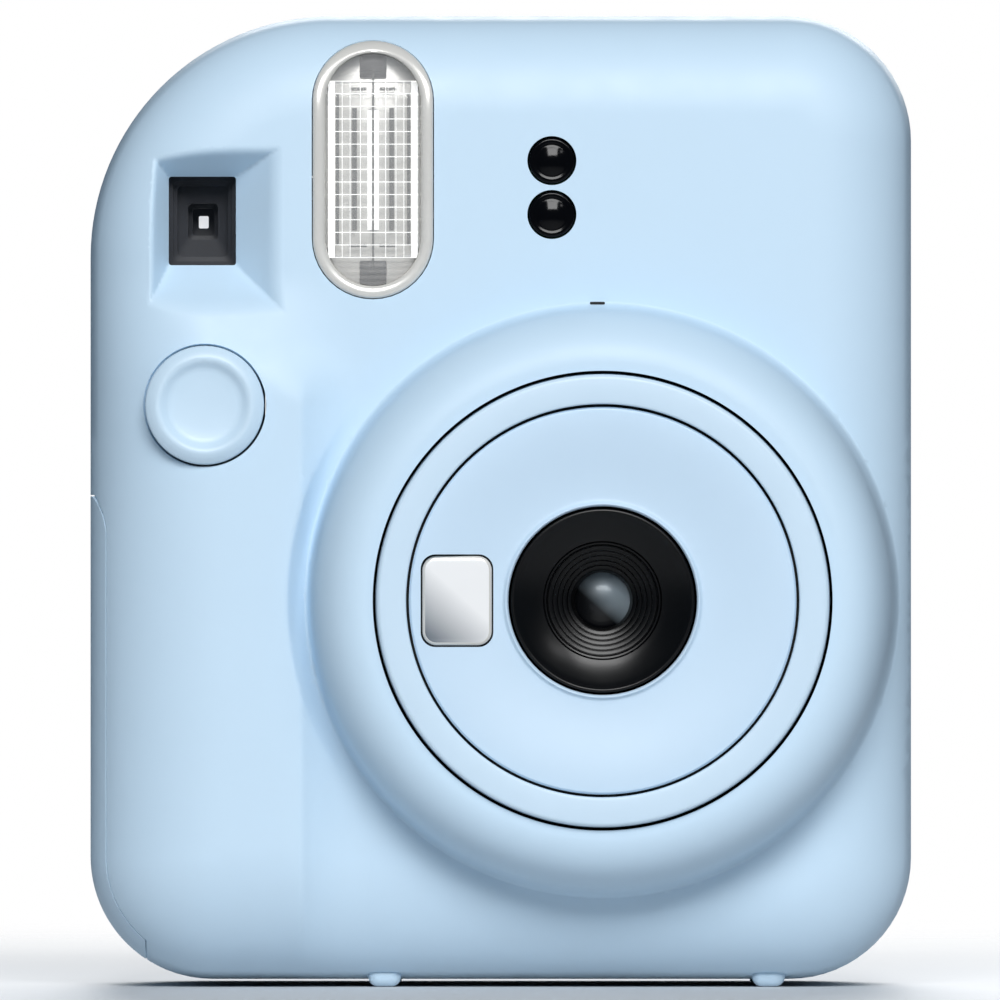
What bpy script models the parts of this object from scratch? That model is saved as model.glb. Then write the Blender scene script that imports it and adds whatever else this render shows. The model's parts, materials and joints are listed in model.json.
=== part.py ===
"""Instant film camera, as separate pieces in one frame.

Metres, +Z up, +X to the right of a viewer who faces the camera, and the lens looks along -Y.
The origin is on the surface that the feet stand on, midway across the width and the depth.
Places in front of the origin are also given as "forward", which is -y.
"""

import math

import bmesh
import bpy
from mathutils import Matrix, Vector

MM = 0.001
GAP = 0.3 * MM

# The casing
WIDTH = 104 * MM
HEIGHT = 122 * MM
FOOT_HEIGHT = 0.95 * MM
DEPTH_HALF = 33.3 * MM
FACE_FORWARD = 19 * MM
BACK_Y = DEPTH_HALF
SEAM_Y = 4 * MM
WALL = 2 * MM
FRONT_ROUND = 11 * MM
BACK_ROUND = 9 * MM
BASE_Z = FOOT_HEIGHT
TOP_Z = FOOT_HEIGHT + HEIGHT
CORNER_RADII = {
    "top_right": 15.8 * MM,
    "top_left": 30.5 * MM,
    "low_left": 15.5 * MM,
    "low_right": 15.4 * MM,
}
CORNER_STEPS = 12
EDGE_STEPS = 6
TURN_STEPS = ((3.2 * MM, 16), (8 * MM, 24), (20 * MM, 32), (1, 48))

# The lens
LENS_X = 12.8 * MM
LENS_Z = 49.0 * MM
BULGE_RADIUS = 36.6 * MM
BORE_RADIUS = 28.9 * MM
RING_OUTER = BORE_RADIUS - GAP
RING_INNER = 24.6 * MM
PANEL_RADIUS = RING_INNER - 0.3 * MM
OPENING_RADIUS = 11.8 * MM
MIRROR_X = -5.5 * MM
MIRROR_SIZE = (8.7 * MM, 11.2 * MM)

# The grip and its button
CREASE_X = -25.1 * MM
GRIP_FORWARD = 22 * MM
BUTTON_X = -37.35 * MM
BUTTON_Z = 73.6 * MM
BUTTON_RADIUS = 7.52 * MM

# Flash, viewfinder and sensors
FLASH_X = -16.15 * MM
FLASH_Z = 103.4 * MM
FLASH_SIZE = (15.2 * MM, 32.6 * MM)
SENSOR_X = 6.45 * MM
SENSOR_ZS = {"exposure_sensor_window": 104.5 * MM, "flash_sensor_window": 97.7 * MM}
SENSOR_RADIUS = 2.85 * MM
FINDER_X = -37.75 * MM
FINDER_Z = 96.95 * MM
FINDER_PANE = (8.5 * MM, 11.2 * MM)
FUNNEL_LOW = (-44.5 * MM, 86.1 * MM)
FUNNEL_HIGH = (-28.1 * MM, 105.9 * MM)

# The film door, on its hinge at the right
DOOR_LEFT = -30 * MM
DOOR_LOW = 5 * MM
DOOR_HIGH = 103 * MM
DOOR_FRONT = 24 * MM
HINGE_X = 48.2 * MM
HINGE_Y = 28 * MM
BARREL_RADIUS = 3.45 * MM
HINGE_PIN_RADIUS = 1 * MM
KNUCKLE_RADIUS = 2.7 * MM
KNUCKLE_LOWS = {"lower": 14 * MM, "upper": 88 * MM}
KNUCKLE_LENGTH = 6 * MM
PIN_REACH = 4 * MM

# Film, rollers and drive
FILM_Y = 16.5 * MM
PACK_SIZE = (60 * MM, 12.6 * MM, 92 * MM)
PACK_LOW = (LENS_X - PACK_SIZE[0] / 2, 15 * MM, 9 * MM)
IMAGE_SIZE = (46 * MM, 62 * MM)
ROLLER_RADIUS = 4.2 * MM
ROLLER_Z = 107 * MM
ROLLER_APART = ROLLER_RADIUS + 0.2 * MM
ROLLER_YS = {"drive_roller": FILM_Y - ROLLER_APART, "pinch_roller": FILM_Y + ROLLER_APART}
ROLLER_LEFT = -15.2 * MM
ROLLER_RIGHT = 41.7 * MM
SHAFT_RADIUS = 1.5 * MM
GEAR_MODULE = 0.5 * MM
GEAR_TEETH = {"motor_pinion": 10, "idler_gear": 18, "roller_gear": 18}
GEAR_X = -20 * MM
GEAR_WIDTH = 2.2 * MM

# Batteries
CELL_RADIUS = 7.25 * MM
CELL_LENGTH = 50.5 * MM
CELL_X = -41 * MM
CELL_YS = (-4 * MM, 11.3 * MM)
CELL_LOW = 11.2 * MM
COVER_RIGHT = -44.9 * MM
COVER_FRONT = -14.7 * MM
COVER_BACK = 22 * MM
COVER_TOP = 62.2 * MM

# Screws and picture counter
CASE_SCREW_XS = (-6 * MM, 32 * MM)
CASE_SCREW_Y = 8 * MM
CHASSIS_SCREW_X = -25.5 * MM
CHASSIS_SCREW_ZS = (40 * MM, 92 * MM)
COUNTER_X = -23.3 * MM
COUNTER_Z = 20 * MM

COLOURS = {
    "pale_blue": ((0.62, 0.74, 0.86), 0.35, 0.0),
    "ring_blue": ((0.60, 0.73, 0.85), 0.30, 0.0),
    "black": ((0.015, 0.015, 0.017), 0.4, 0.0),
    "glass": ((0.06, 0.07, 0.08), 0.05, 0.0),
    "clear": ((0.75, 0.78, 0.80), 0.08, 0.0),
    "pearl": ((0.72, 0.69, 0.66), 0.3, 0.2),
    "mirror": ((0.85, 0.87, 0.90), 0.03, 1.0),
    "steel": ((0.55, 0.56, 0.58), 0.3, 1.0),
    "rubber": ((0.03, 0.03, 0.03), 0.8, 0.0),
    "board": ((0.02, 0.12, 0.05), 0.5, 0.0),
    "nylon": ((0.80, 0.79, 0.74), 0.5, 0.0),
    "film": ((0.10, 0.10, 0.11), 0.5, 0.0),
    "cell": ((0.70, 0.55, 0.20), 0.35, 0.3),
}


# Scene and materials


def clear_scene():
    for obj in list(bpy.data.objects):
        bpy.data.objects.remove(obj)


def new_collection(name):
    collection = bpy.data.collections.new(name)
    bpy.context.scene.collection.children.link(collection)
    return collection


def material(name):
    found = bpy.data.materials.get(name)
    if found:
        return found
    colour, roughness, metallic = COLOURS[name]
    made = bpy.data.materials.new(name)
    made.use_nodes = True
    shader = made.node_tree.nodes["Principled BSDF"]
    shader.inputs["Base Color"].default_value = (*colour, 1)
    shader.inputs["Roughness"].default_value = roughness
    shader.inputs["Metallic"].default_value = metallic
    return made


clear_scene()
PARTS = new_collection("instant_camera")
CUTTERS = new_collection("cutters")


def add_object(name, mesh, colour=None):
    """A sub-part when it has a colour, and otherwise a helper that only shapes others."""
    obj = bpy.data.objects.new(name, mesh)
    if colour:
        PARTS.objects.link(obj)
        mesh.materials.append(material(colour))
        return obj
    CUTTERS.objects.link(obj)
    obj.hide_render = True
    obj.display_type = "WIRE"
    return obj


def mesh_from(name, bm):
    bmesh.ops.recalc_face_normals(bm, faces=bm.faces)
    mesh = bpy.data.meshes.new(name)
    bm.to_mesh(mesh)
    bm.free()
    return mesh


def boolean(obj, operation, tool):
    modifier = obj.modifiers.new(operation.lower(), "BOOLEAN")
    modifier.operation = operation
    modifier.object = tool
    modifier.solver = "EXACT"
    return obj


def cut(obj, *tools):
    for tool in tools:
        boolean(obj, "DIFFERENCE", tool)
    return obj


def join(obj, *tools):
    for tool in tools:
        boolean(obj, "UNION", tool)
    return obj


def keep(obj, tool):
    return boolean(obj, "INTERSECT", tool)


# Shapes


def box(name, low, high, colour=None):
    """A box between two corners, in world places, with its origin at its centre."""
    size = Vector(high) - Vector(low)
    bm = bmesh.new()
    bmesh.ops.create_cube(bm, size=1)
    bmesh.ops.scale(bm, vec=size, verts=bm.verts)
    obj = add_object(name, mesh_from(name, bm), colour)
    obj.location = (Vector(high) + Vector(low)) / 2
    return obj


AXIS_TURNS = {
    "forward": Matrix.Rotation(math.pi / 2, 4, "X"),
    "x": Matrix.Rotation(math.pi / 2, 4, "Y"),
    "z": Matrix.Identity(4),
}


def turned(name, profile, place, axis, colour=None, ring=False):
    """A turned piece: (radius, height) points run out and down its outer side, and back up inside a ring."""
    bm = bmesh.new()
    verts = [bm.verts.new((radius, 0, height)) for radius, height in profile]
    for first, second in zip(verts, verts[1:]):
        bm.edges.new((first, second))
    if ring:
        bm.edges.new((verts[-1], verts[0]))
    mesh = bpy.data.meshes.new(name)
    bm.to_mesh(mesh)
    bm.free()
    obj = add_object(name, mesh, colour)
    screw = obj.modifiers.new("turn", "SCREW")
    widest = max(radius for radius, _ in profile)
    screw.steps = screw.render_steps = next(steps for limit, steps in TURN_STEPS if widest <= limit)
    screw.use_merge_vertices = True
    screw.merge_threshold = 0.00001
    obj.matrix_world = Matrix.Translation(place) @ AXIS_TURNS[axis]
    return obj


def rod(name, radius, low, high, place, axis, colour=None):
    """A plain cylinder between two heights along its axis."""
    return turned(name, [(0, high), (radius, high), (radius, low), (0, low)], place, axis, colour)


def tube(name, outer, inner, low, high, place, axis, colour=None):
    profile = [(inner, high), (outer, high), (outer, low), (inner, low)]
    return turned(name, profile, place, axis, colour, ring=True)


def loft(name, rings, colour=None):
    """A closed skin over rings that hold the same number of points."""
    bm = bmesh.new()
    rows = [[bm.verts.new(point) for point in ring] for ring in rings]
    count = len(rows[0])
    for row, following in zip(rows, rows[1:]):
        for step in range(count):
            after = (step + 1) % count
            bm.faces.new((row[step], row[after], following[after], following[step]))
    bm.faces.new(rows[0])
    bm.faces.new(rows[-1])
    return add_object(name, mesh_from(name, bm), colour)


def rounded_outline(low, high, radii, inset, y):
    """A rounded rectangle in the plane at y. An inset keeps the corners' centres and shrinks their radii."""
    centres = (
        (high[0], high[1], radii["top_right"], 0),
        (low[0], high[1], radii["top_left"], 1),
        (low[0], low[1], radii["low_left"], 2),
        (high[0], low[1], radii["low_right"], 3),
    )
    points = []
    for x, z, radius, quarter in centres:
        sign_x = 1 if x == high[0] else -1
        sign_z = 1 if z == high[1] else -1
        middle = (x - sign_x * radius, z - sign_z * radius)
        for step in range(CORNER_STEPS + 1):
            angle = (quarter + step / CORNER_STEPS) * math.pi / 2
            reach = radius - inset
            points.append((middle[0] + reach * math.cos(angle), y, middle[1] + reach * math.sin(angle)))
    return points


def edge_steps(size):
    """(inset, depth) of a quarter-round edge of this size, from the flat face to the side."""
    steps = []
    for step in range(EDGE_STEPS + 1):
        angle = (1 - step / EDGE_STEPS) * math.pi / 2
        steps.append((size[0] * (1 - math.cos(angle)), size[1] * (1 - math.sin(angle))))
    return steps


def casing_solid(name, inset, front_y, back_y, front_round=0, back_round=0, colour=None):
    """The casing's outer form between two depths, shrunk by an inset."""
    low = (-WIDTH / 2, BASE_Z)
    high = (WIDTH / 2, TOP_Z)
    rings = []
    for step_in, depth in edge_steps((front_round, front_round)) if front_round else [(0, 0)]:
        rings.append(rounded_outline(low, high, CORNER_RADII, inset + step_in, front_y + depth))
    for step_in, depth in reversed(edge_steps((back_round, back_round)) if back_round else [(0, 0)]):
        rings.append(rounded_outline(low, high, CORNER_RADII, inset + step_in, back_y - depth))
    return loft(name, rings, colour)


def front_solid(name, inset, back_y, colour=None):
    front_y = inset - FACE_FORWARD
    return casing_solid(name, inset, front_y, back_y, front_round=FRONT_ROUND - inset, colour=colour)


def back_solid(name, inset, front_y, colour=None):
    return casing_solid(name, inset, front_y, BACK_Y - inset, back_round=BACK_ROUND - inset, colour=colour)


def frustum(name, front_low, front_high, front_y, back_low, back_high, back_y, colour=None):
    rings = []
    for low, high, y in ((front_low, front_high, front_y), (back_low, back_high, back_y)):
        rings.append([(low[0], y, low[1]), (high[0], y, low[1]), (high[0], y, high[1]), (low[0], y, high[1])])
    return loft(name, rings, colour)


def stadium(name, grow, front_y, back_y, colour=None):
    """The flash window's outline, an upright slot with round ends, as a block."""
    radius = FLASH_SIZE[0] / 2 + grow
    half = FLASH_SIZE[1] / 2 + grow
    low = (FLASH_X - radius, FLASH_Z - half)
    high = (FLASH_X + radius, FLASH_Z + half)
    radii = dict.fromkeys(CORNER_RADII, radius - 0.05 * MM)
    return loft(name, [rounded_outline(low, high, radii, 0, y) for y in (front_y, back_y)], colour)


def coil(name, radius, wire, turns, low, high, place, axis, colour):
    """A compression spring, as a bevelled curve with filled caps."""
    curve = bpy.data.curves.new(name, "CURVE")
    curve.dimensions = "3D"
    curve.bevel_depth = wire
    curve.bevel_resolution = 2
    curve.use_fill_caps = True
    count = turns * 12
    spline = curve.splines.new("POLY")
    spline.points.add(count)
    for step, point in enumerate(spline.points):
        angle = step * math.pi / 6
        height = low + wire + (high - low - 2 * wire) * step / count
        point.co = (radius * math.cos(angle), radius * math.sin(angle), height, 1)
    obj = bpy.data.objects.new(name, curve)
    curve.materials.append(material(colour))
    PARTS.objects.link(obj)
    obj.matrix_world = Matrix.Translation(place) @ AXIS_TURNS[axis]
    return obj


# Casing


def battery_region(name, gap):
    """The part of the left side that the battery cover takes, grown by a gap."""
    low = (COVER_FRONT - gap, -0.02)
    high = (COVER_BACK + gap, COVER_TOP + gap)
    corner = 5 * MM
    rings = []
    for x in (-0.07, COVER_RIGHT + gap):
        ring = [(x, low[0], low[1]), (x, high[0], low[1])]
        for step in range(CORNER_STEPS + 1):
            angle = step / CORNER_STEPS * math.pi / 2
            y = high[0] - corner * (1 - math.cos(angle))
            ring.append((x, y, high[1] - corner * (1 - math.sin(angle))))
        for step in range(CORNER_STEPS + 1):
            angle = (1 + step / CORNER_STEPS) * math.pi / 2
            y = low[0] + corner * (1 + math.cos(angle))
            ring.append((x, y, high[1] - corner * (1 - math.sin(angle))))
        rings.append(ring)
    return loft(name, rings)


def grip_solid():
    """The grip, which stands out of the face and stops at a crease."""
    low = (-51.9 * MM, 1.5 * MM)
    high = (-21 * MM, 86 * MM)
    radii = {"top_right": 16 * MM, "top_left": 14.5 * MM, "low_left": 15.2 * MM, "low_right": 12 * MM}
    rings = []
    for step_in, depth in edge_steps((11 * MM, 6 * MM)):
        rings.append(rounded_outline(low, high, radii, step_in, -GRIP_FORWARD + depth))
    rings.append(rounded_outline(low, high, radii, 1 * MM, -9 * MM))
    grip = loft("grip_form", rings)
    return keep(grip, box("grip_side", (-0.06, -0.03, -0.01), (CREASE_X, 0, 0.1)))


def bulge_ring():
    """The dome around the lens, a turned shell with the barrel's bore through it."""
    crown = 31.9 * MM
    swell = [(BORE_RADIUS, crown), (30 * MM, crown)]
    for step in range(1, 7):
        angle = step / 6 * math.pi / 2
        radius = 30 * MM + (BULGE_RADIUS - 30 * MM) * math.sin(angle)
        swell.append((radius, FACE_FORWARD - 1 * MM + (crown - FACE_FORWARD + 1 * MM) * math.cos(angle)))
    inside = [(BULGE_RADIUS, 17.4 * MM), (34 * MM, 17.4 * MM), (33 * MM, 25 * MM), (31 * MM, 29.5 * MM)]
    sleeve = [(31 * MM, 12 * MM), (BORE_RADIUS, 12 * MM)]
    return turned("bulge_form", swell + inside + sleeve, (LENS_X, 0, LENS_Z), "forward", ring=True)


def feet(name, y):
    """Two moulded feet, one on each side, in the depth range from y back."""
    made = []
    for x in (-14.7 * MM, 33.9 * MM):
        low = (x - 2 * MM, y, 0)
        high = (x + 2 * MM, y + 5 * MM, FOOT_HEIGHT + 1 * MM)
        made.append(box(f"{name}_{'left' if x < 0 else 'right'}", low, high))
    return made


def finder_funnel():
    """The block behind the viewfinder's funnel, and the funnel that is cut from it."""
    block_low = (FUNNEL_LOW[0] - 1 * MM, -18 * MM, FUNNEL_LOW[1] - 1 * MM)
    block_high = (FUNNEL_HIGH[0] + 1 * MM, -12.5 * MM, FUNNEL_HIGH[1] + 1 * MM)
    block = keep(box("finder_block", block_low, block_high), front_solid("finder_limit", 0.6 * MM, 0))
    half = (FINDER_PANE[0] / 2, FINDER_PANE[1] / 2)
    pane_low = (FINDER_X - half[0], FINDER_Z - half[1])
    pane_high = (FINDER_X + half[0], FINDER_Z + half[1])
    mouth = (FUNNEL_LOW, FUNNEL_HIGH, -FACE_FORWARD - 0.5 * MM)
    funnel = frustum("finder_cut", *mouth, pane_low, pane_high, -13.5 * MM)
    mouth_low = (pane_low[0], -0.02, pane_low[1])
    mouth = box("finder_mouth", mouth_low, (pane_high[0], -0.01, pane_high[1]))
    return block, funnel, mouth


def front_cover():
    cover = front_solid("front_cover", 0, SEAM_Y - GAP / 2, "pale_blue")
    join(cover, grip_solid())
    cut(cover, front_solid("front_hollow", WALL, SEAM_Y + 1 * MM))
    cut(cover, rod("bulge_hole", 32 * MM, 10 * MM, 40 * MM, (LENS_X, 0, LENS_Z), "forward"))
    join(cover, bulge_ring())
    block, funnel, mouth = finder_funnel()
    join(cover, block)
    cut(cover, funnel, mouth)
    button = (BUTTON_X, 0, BUTTON_Z)
    join(cover, rod("button_boss", 9.6 * MM, 14.2 * MM, 20.6 * MM, button, "forward"))
    cut(cover, rod("button_hole", BUTTON_RADIUS + GAP, 10 * MM, 30 * MM, button, "forward"))
    cut(cover, stadium("flash_hole", GAP, -0.03, -0.01))
    for name, z in SENSOR_ZS.items():
        cut(cover, rod(f"{name}_hole", SENSOR_RADIUS + GAP, 10 * MM, 30 * MM, (SENSOR_X, 0, z), "forward"))
    join(cover, *feet("front_foot", -8 * MM))
    cut(cover, battery_region("battery_hole_front", GAP))


def strap_side(side):
    """Corners of the pocket in which a strap lug sits, on one side of the rear body."""
    outer = side * 53 * MM
    inner = side * 46.5 * MM
    low = (min(outer, inner), 8 * MM, 76 * MM)
    high = (max(outer, inner), 17 * MM, 84 * MM)
    return low, high


def door_region(name, gap):
    """The block of the casing's back that the film door takes, grown by a gap."""
    low = (DOOR_LEFT - gap, DOOR_FRONT - gap, DOOR_LOW - gap)
    high = (HINGE_X + 0.13 * MM, 0.05, DOOR_HIGH + gap)
    region = box(name, low, high)
    place = (HINGE_X, HINGE_Y, 0)
    barrel = rod(f"{name}_barrel", BARREL_RADIUS + gap, DOOR_LOW - gap, DOOR_HIGH + gap, place, "z")
    return join(region, barrel)


def hinge_bore(name, low):
    """The hole that a hinge pin sits in, through a knuckle and into the door above and below it."""
    reach = PIN_REACH + 1 * MM
    place = (HINGE_X, HINGE_Y, 0)
    return rod(name, HINGE_PIN_RADIUS + GAP, low - reach, low + KNUCKLE_LENGTH + reach, place, "z")


def hinge_knuckle(end, low):
    """A round lug of the rear body that stands in a notch of the door and holds one hinge pin."""
    high = low + KNUCKLE_LENGTH
    knuckle = rod(f"knuckle_{end}", KNUCKLE_RADIUS, low, high, (HINGE_X, HINGE_Y, 0), "z")
    web_low = (49.05 * MM, 24 * MM, low + 0.4 * MM)
    join(knuckle, box(f"knuckle_web_{end}", web_low, (50.9 * MM, 27.6 * MM, high - 0.4 * MM)))
    keep(knuckle, back_solid(f"knuckle_limit_{end}", 0.3 * MM, 0))
    return cut(knuckle, hinge_bore(f"knuckle_bore_{end}", low))


def rear_body():
    body = back_solid("rear_body", 0, SEAM_Y + GAP / 2, "pale_blue")
    cut(body, back_solid("rear_hollow", WALL, SEAM_Y - 1 * MM))
    cut(body, door_region("door_hole", GAP))
    for end, low in KNUCKLE_LOWS.items():
        join(body, hinge_knuckle(end, low))
    slot_low = (ROLLER_LEFT - 1 * MM, FILM_Y - 1.6 * MM, 115 * MM)
    cut(body, box("film_slot", slot_low, (ROLLER_RIGHT, FILM_Y + 1.6 * MM, 0.13)))
    half = (FINDER_PANE[0] / 2, FINDER_PANE[1] / 2)
    eye_low = (FINDER_X - half[0] - GAP, 0.029, FINDER_Z - half[1] - GAP)
    cut(body, box("eyepiece_hole", eye_low, (FINDER_X + half[0] + GAP, 0.04, FINDER_Z + half[1] + GAP)))
    cut(body, box("lock_hole", (-37.5 * MM, 0.029, 46 * MM), (-32.5 * MM, 0.04, 63 * MM)))
    for side in (-1, 1):
        cut(body, box(f"strap_hole_{side}", *strap_side(side)))
    for x in CASE_SCREW_XS:
        cut(body, rod(f"screw_hole_{x}", 2.1 * MM, -5 * MM, 5 * MM, (x, CASE_SCREW_Y, 0), "z"))
    join(body, *feet("rear_foot", 17 * MM))
    cut(body, battery_region("battery_hole_rear", GAP))


def battery_cover():
    cover = casing_solid("battery_cover", 0, -FACE_FORWARD, BACK_Y, FRONT_ROUND, BACK_ROUND, "pale_blue")
    join(cover, grip_solid())
    rounds = (FRONT_ROUND - WALL, BACK_ROUND - WALL)
    cut(cover, casing_solid("cover_hollow", WALL, -17 * MM, BACK_Y - WALL, *rounds))
    keep(cover, battery_region("battery_panel", 0))


def back_cover():
    door = back_solid("back_cover", 0, 0, "pale_blue")
    keep(door, door_region("door_block", 0))
    hollow_low = (DOOR_LEFT + 1.6 * MM, 0, DOOR_LOW + 4 * MM)
    cut(door, box("door_hollow", hollow_low, (45.4 * MM, 31.3 * MM, DOOR_HIGH - 1.6 * MM)))
    for end, low in KNUCKLE_LOWS.items():
        high = low + KNUCKLE_LENGTH
        room_low = (HINGE_X - KNUCKLE_RADIUS - 1 * MM, 0.023, low - GAP)
        cut(door, box(f"knuckle_room_{end}", room_low, (0.053, HINGE_Y + KNUCKLE_RADIUS + GAP, high + GAP)))
        cut(door, hinge_bore(f"door_bore_{end}", low))
    cut(door, box("film_window_hole", (8 * MM, 0.03, 34 * MM), (17.6 * MM, 0.04, 76 * MM)))
    cut(door, rod("counter_window_hole", 3.6 * MM, -0.04, -0.03, (COUNTER_X, 0, COUNTER_Z), "forward"))


def door_fittings():
    box("film_window", (8.3 * MM, 31.5 * MM, 34.3 * MM), (17.3 * MM, 32.9 * MM, 75.7 * MM), "glass")
    place = (COUNTER_X, 0, COUNTER_Z)
    rod("counter_window", 3.3 * MM, -32.9 * MM, -31.5 * MM, place, "forward", "glass")
    spring = box("pressure_spring", (-8 * MM, 28.4 * MM, 25 * MM), (33 * MM, 29 * MM, 86 * MM), "steel")
    cut(spring, box("spring_window", (3 * MM, 0.02, 31 * MM), (22 * MM, 0.04, 80 * MM)))
    for end, low in KNUCKLE_LOWS.items():
        high = low + KNUCKLE_LENGTH + PIN_REACH
        rod(f"hinge_pin_{end}", HINGE_PIN_RADIUS, low - PIN_REACH, high, (HINGE_X, HINGE_Y, 0), "z", "steel")
    lock_low = (-37.2 * MM, 31.8 * MM, 49.5 * MM)
    lock = box("back_cover_lock", lock_low, (-32.8 * MM, 33.2 * MM, 62.7 * MM), "ring_blue")
    join(lock, box("lock_rib", (-36.6 * MM, 30.2 * MM, 53 * MM), (-33.4 * MM, 32.4 * MM, 59 * MM)))
    box("lock_spring", (-36.4 * MM, 27.4 * MM, 50 * MM), (-33.6 * MM, 27.9 * MM, 62 * MM), "steel")


def strap_lugs():
    """Cups in the two sides, each with a bar for a strap."""
    for side, name in ((-1, "strap_lug_left"), (1, "strap_lug_right")):
        low, high = strap_side(side)
        face = side * (WIDTH / 2 - 0.4 * MM)
        floor = side * 45.2 * MM
        cup_low = (min(face, floor), low[1] + GAP, low[2] + GAP)
        cup_high = (max(face, floor), high[1] - GAP, high[2] - GAP)
        cup = box(name, cup_low, cup_high, "ring_blue")
        rim = 1.2 * MM
        pocket_x = sorted((side * 47 * MM, side * 60 * MM))
        pocket_low = (pocket_x[0], cup_low[1] + rim, cup_low[2] + rim)
        cut(cup, box(f"{name}_pocket", pocket_low, (pocket_x[1], cup_high[1] - rim, cup_high[2] - rim)))
        middle = (side * 50.2 * MM, (low[1] + high[1]) / 2, 0)
        join(cup, rod(f"{name}_bar", 0.9 * MM, low[2] + 1 * MM, high[2] - 1 * MM, middle, "z"))


# Lens


def lens_group():
    place = (LENS_X, 0, LENS_Z)
    face = [(OPENING_RADIUS + 0.9 * MM, 31.4 * MM), (18 * MM, 31.9 * MM), (PANEL_RADIUS, 32.5 * MM)]
    seat = [(PANEL_RADIUS, 30 * MM), (RING_OUTER, 30 * MM), (RING_OUTER, 8 * MM), (26.8 * MM, 8 * MM)]
    inside = [(26.8 * MM, 28.2 * MM), (22.4 * MM, 29 * MM), (13.3 * MM, 29 * MM), (13.3 * MM, 25.5 * MM)]
    bore = [(OPENING_RADIUS + 0.1 * MM, 25.5 * MM), (OPENING_RADIUS + 0.1 * MM, 31.8 * MM)]
    barrel = turned("lens_barrel", face + seat + inside + bore, place, "forward", "pale_blue", ring=True)
    half = (MIRROR_SIZE[0] / 2, MIRROR_SIZE[1] / 2)
    pocket_low = (MIRROR_X - half[0] - GAP, -0.04, LENS_Z - half[1] - GAP)
    pocket_high = (MIRROR_X + half[0] + GAP, -30.6 * MM, LENS_Z + half[1] + GAP)
    cut(barrel, box("mirror_pocket", pocket_low, pocket_high))
    mirror_low = (MIRROR_X - half[0], -31.9 * MM, LENS_Z - half[1])
    box("selfie_mirror", mirror_low, (MIRROR_X + half[0], -30.9 * MM, LENS_Z + half[1]), "mirror")
    rim = [(25.2 * MM, 33.3 * MM), (27.8 * MM, 33.3 * MM), (RING_OUTER, 32.6 * MM)]
    back = [(RING_OUTER, 30.3 * MM), (RING_INNER, 30.3 * MM), (RING_INNER, 32.9 * MM)]
    turned("lens_ring", rim + back, place, "forward", "ring_blue", ring=True)
    lens_hood(place)
    front = [(0, 19.2 * MM), (2 * MM, 19 * MM), (3.9 * MM, 18.3 * MM), (3.9 * MM, 17.4 * MM), (0, 17.2 * MM)]
    turned("front_lens", front, place, "forward", "glass")
    rear = [(0, 12.2 * MM), (4.6 * MM, 11.4 * MM), (4.6 * MM, 10.4 * MM), (2.4 * MM, 9.8 * MM), (0, 9.6 * MM)]
    turned("rear_lens", rear, place, "forward", "glass")
    tube("aperture_plate", 26.4 * MM, 2.6 * MM, 15.4 * MM, 16.6 * MM, place, "forward", "black")


def lens_hood(place):
    """The black cone around the front lens, stepped inside against stray light."""
    outside = [(11.1 * MM, 31.7 * MM), (11.6 * MM, 31.7 * MM), (11.6 * MM, 27 * MM), (8.8 * MM, 23.6 * MM)]
    outside += [(6.2 * MM, 20.6 * MM), (4.2 * MM, 19.6 * MM)]
    steps = [(3.5 * MM, 19.6 * MM)]
    for step in range(4):
        height = (20.6 + 1.05 * step) * MM
        radius = (3.5 + 0.97 * step) * MM
        steps += [(radius, height), (radius + 0.97 * MM, height)]
    turned("lens_hood", outside + steps + [(7.4 * MM, 24.6 * MM)], place, "forward", "black", ring=True)


def shutter():
    pivot = (LENS_X + 9 * MM, 0, LENS_Z + 4 * MM)
    blade = rod("shutter_blade", 2 * MM, 13.8 * MM, 14.6 * MM, pivot, "forward", "black")
    reach = Vector((-9 * MM, 0, -4 * MM))
    side = Vector((4 * MM, 0, -9 * MM)).normalized() * 3.4 * MM
    tip = Vector(pivot) + reach * 1.3
    rings = []
    for forward in (13.8 * MM, 14.6 * MM):
        ends = [Vector(pivot) + side * 0.4, tip + side, tip - side, Vector(pivot) - side * 0.4]
        rings.append([(point.x, -forward, point.z) for point in ends])
    join(blade, loft("blade_form", rings))
    low = (LENS_X + 4 * MM, -13.2 * MM, LENS_Z + 10 * MM)
    box("shutter_solenoid", low, (LENS_X + 14 * MM, -8.5 * MM, LENS_Z + 17 * MM), "steel")


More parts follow.
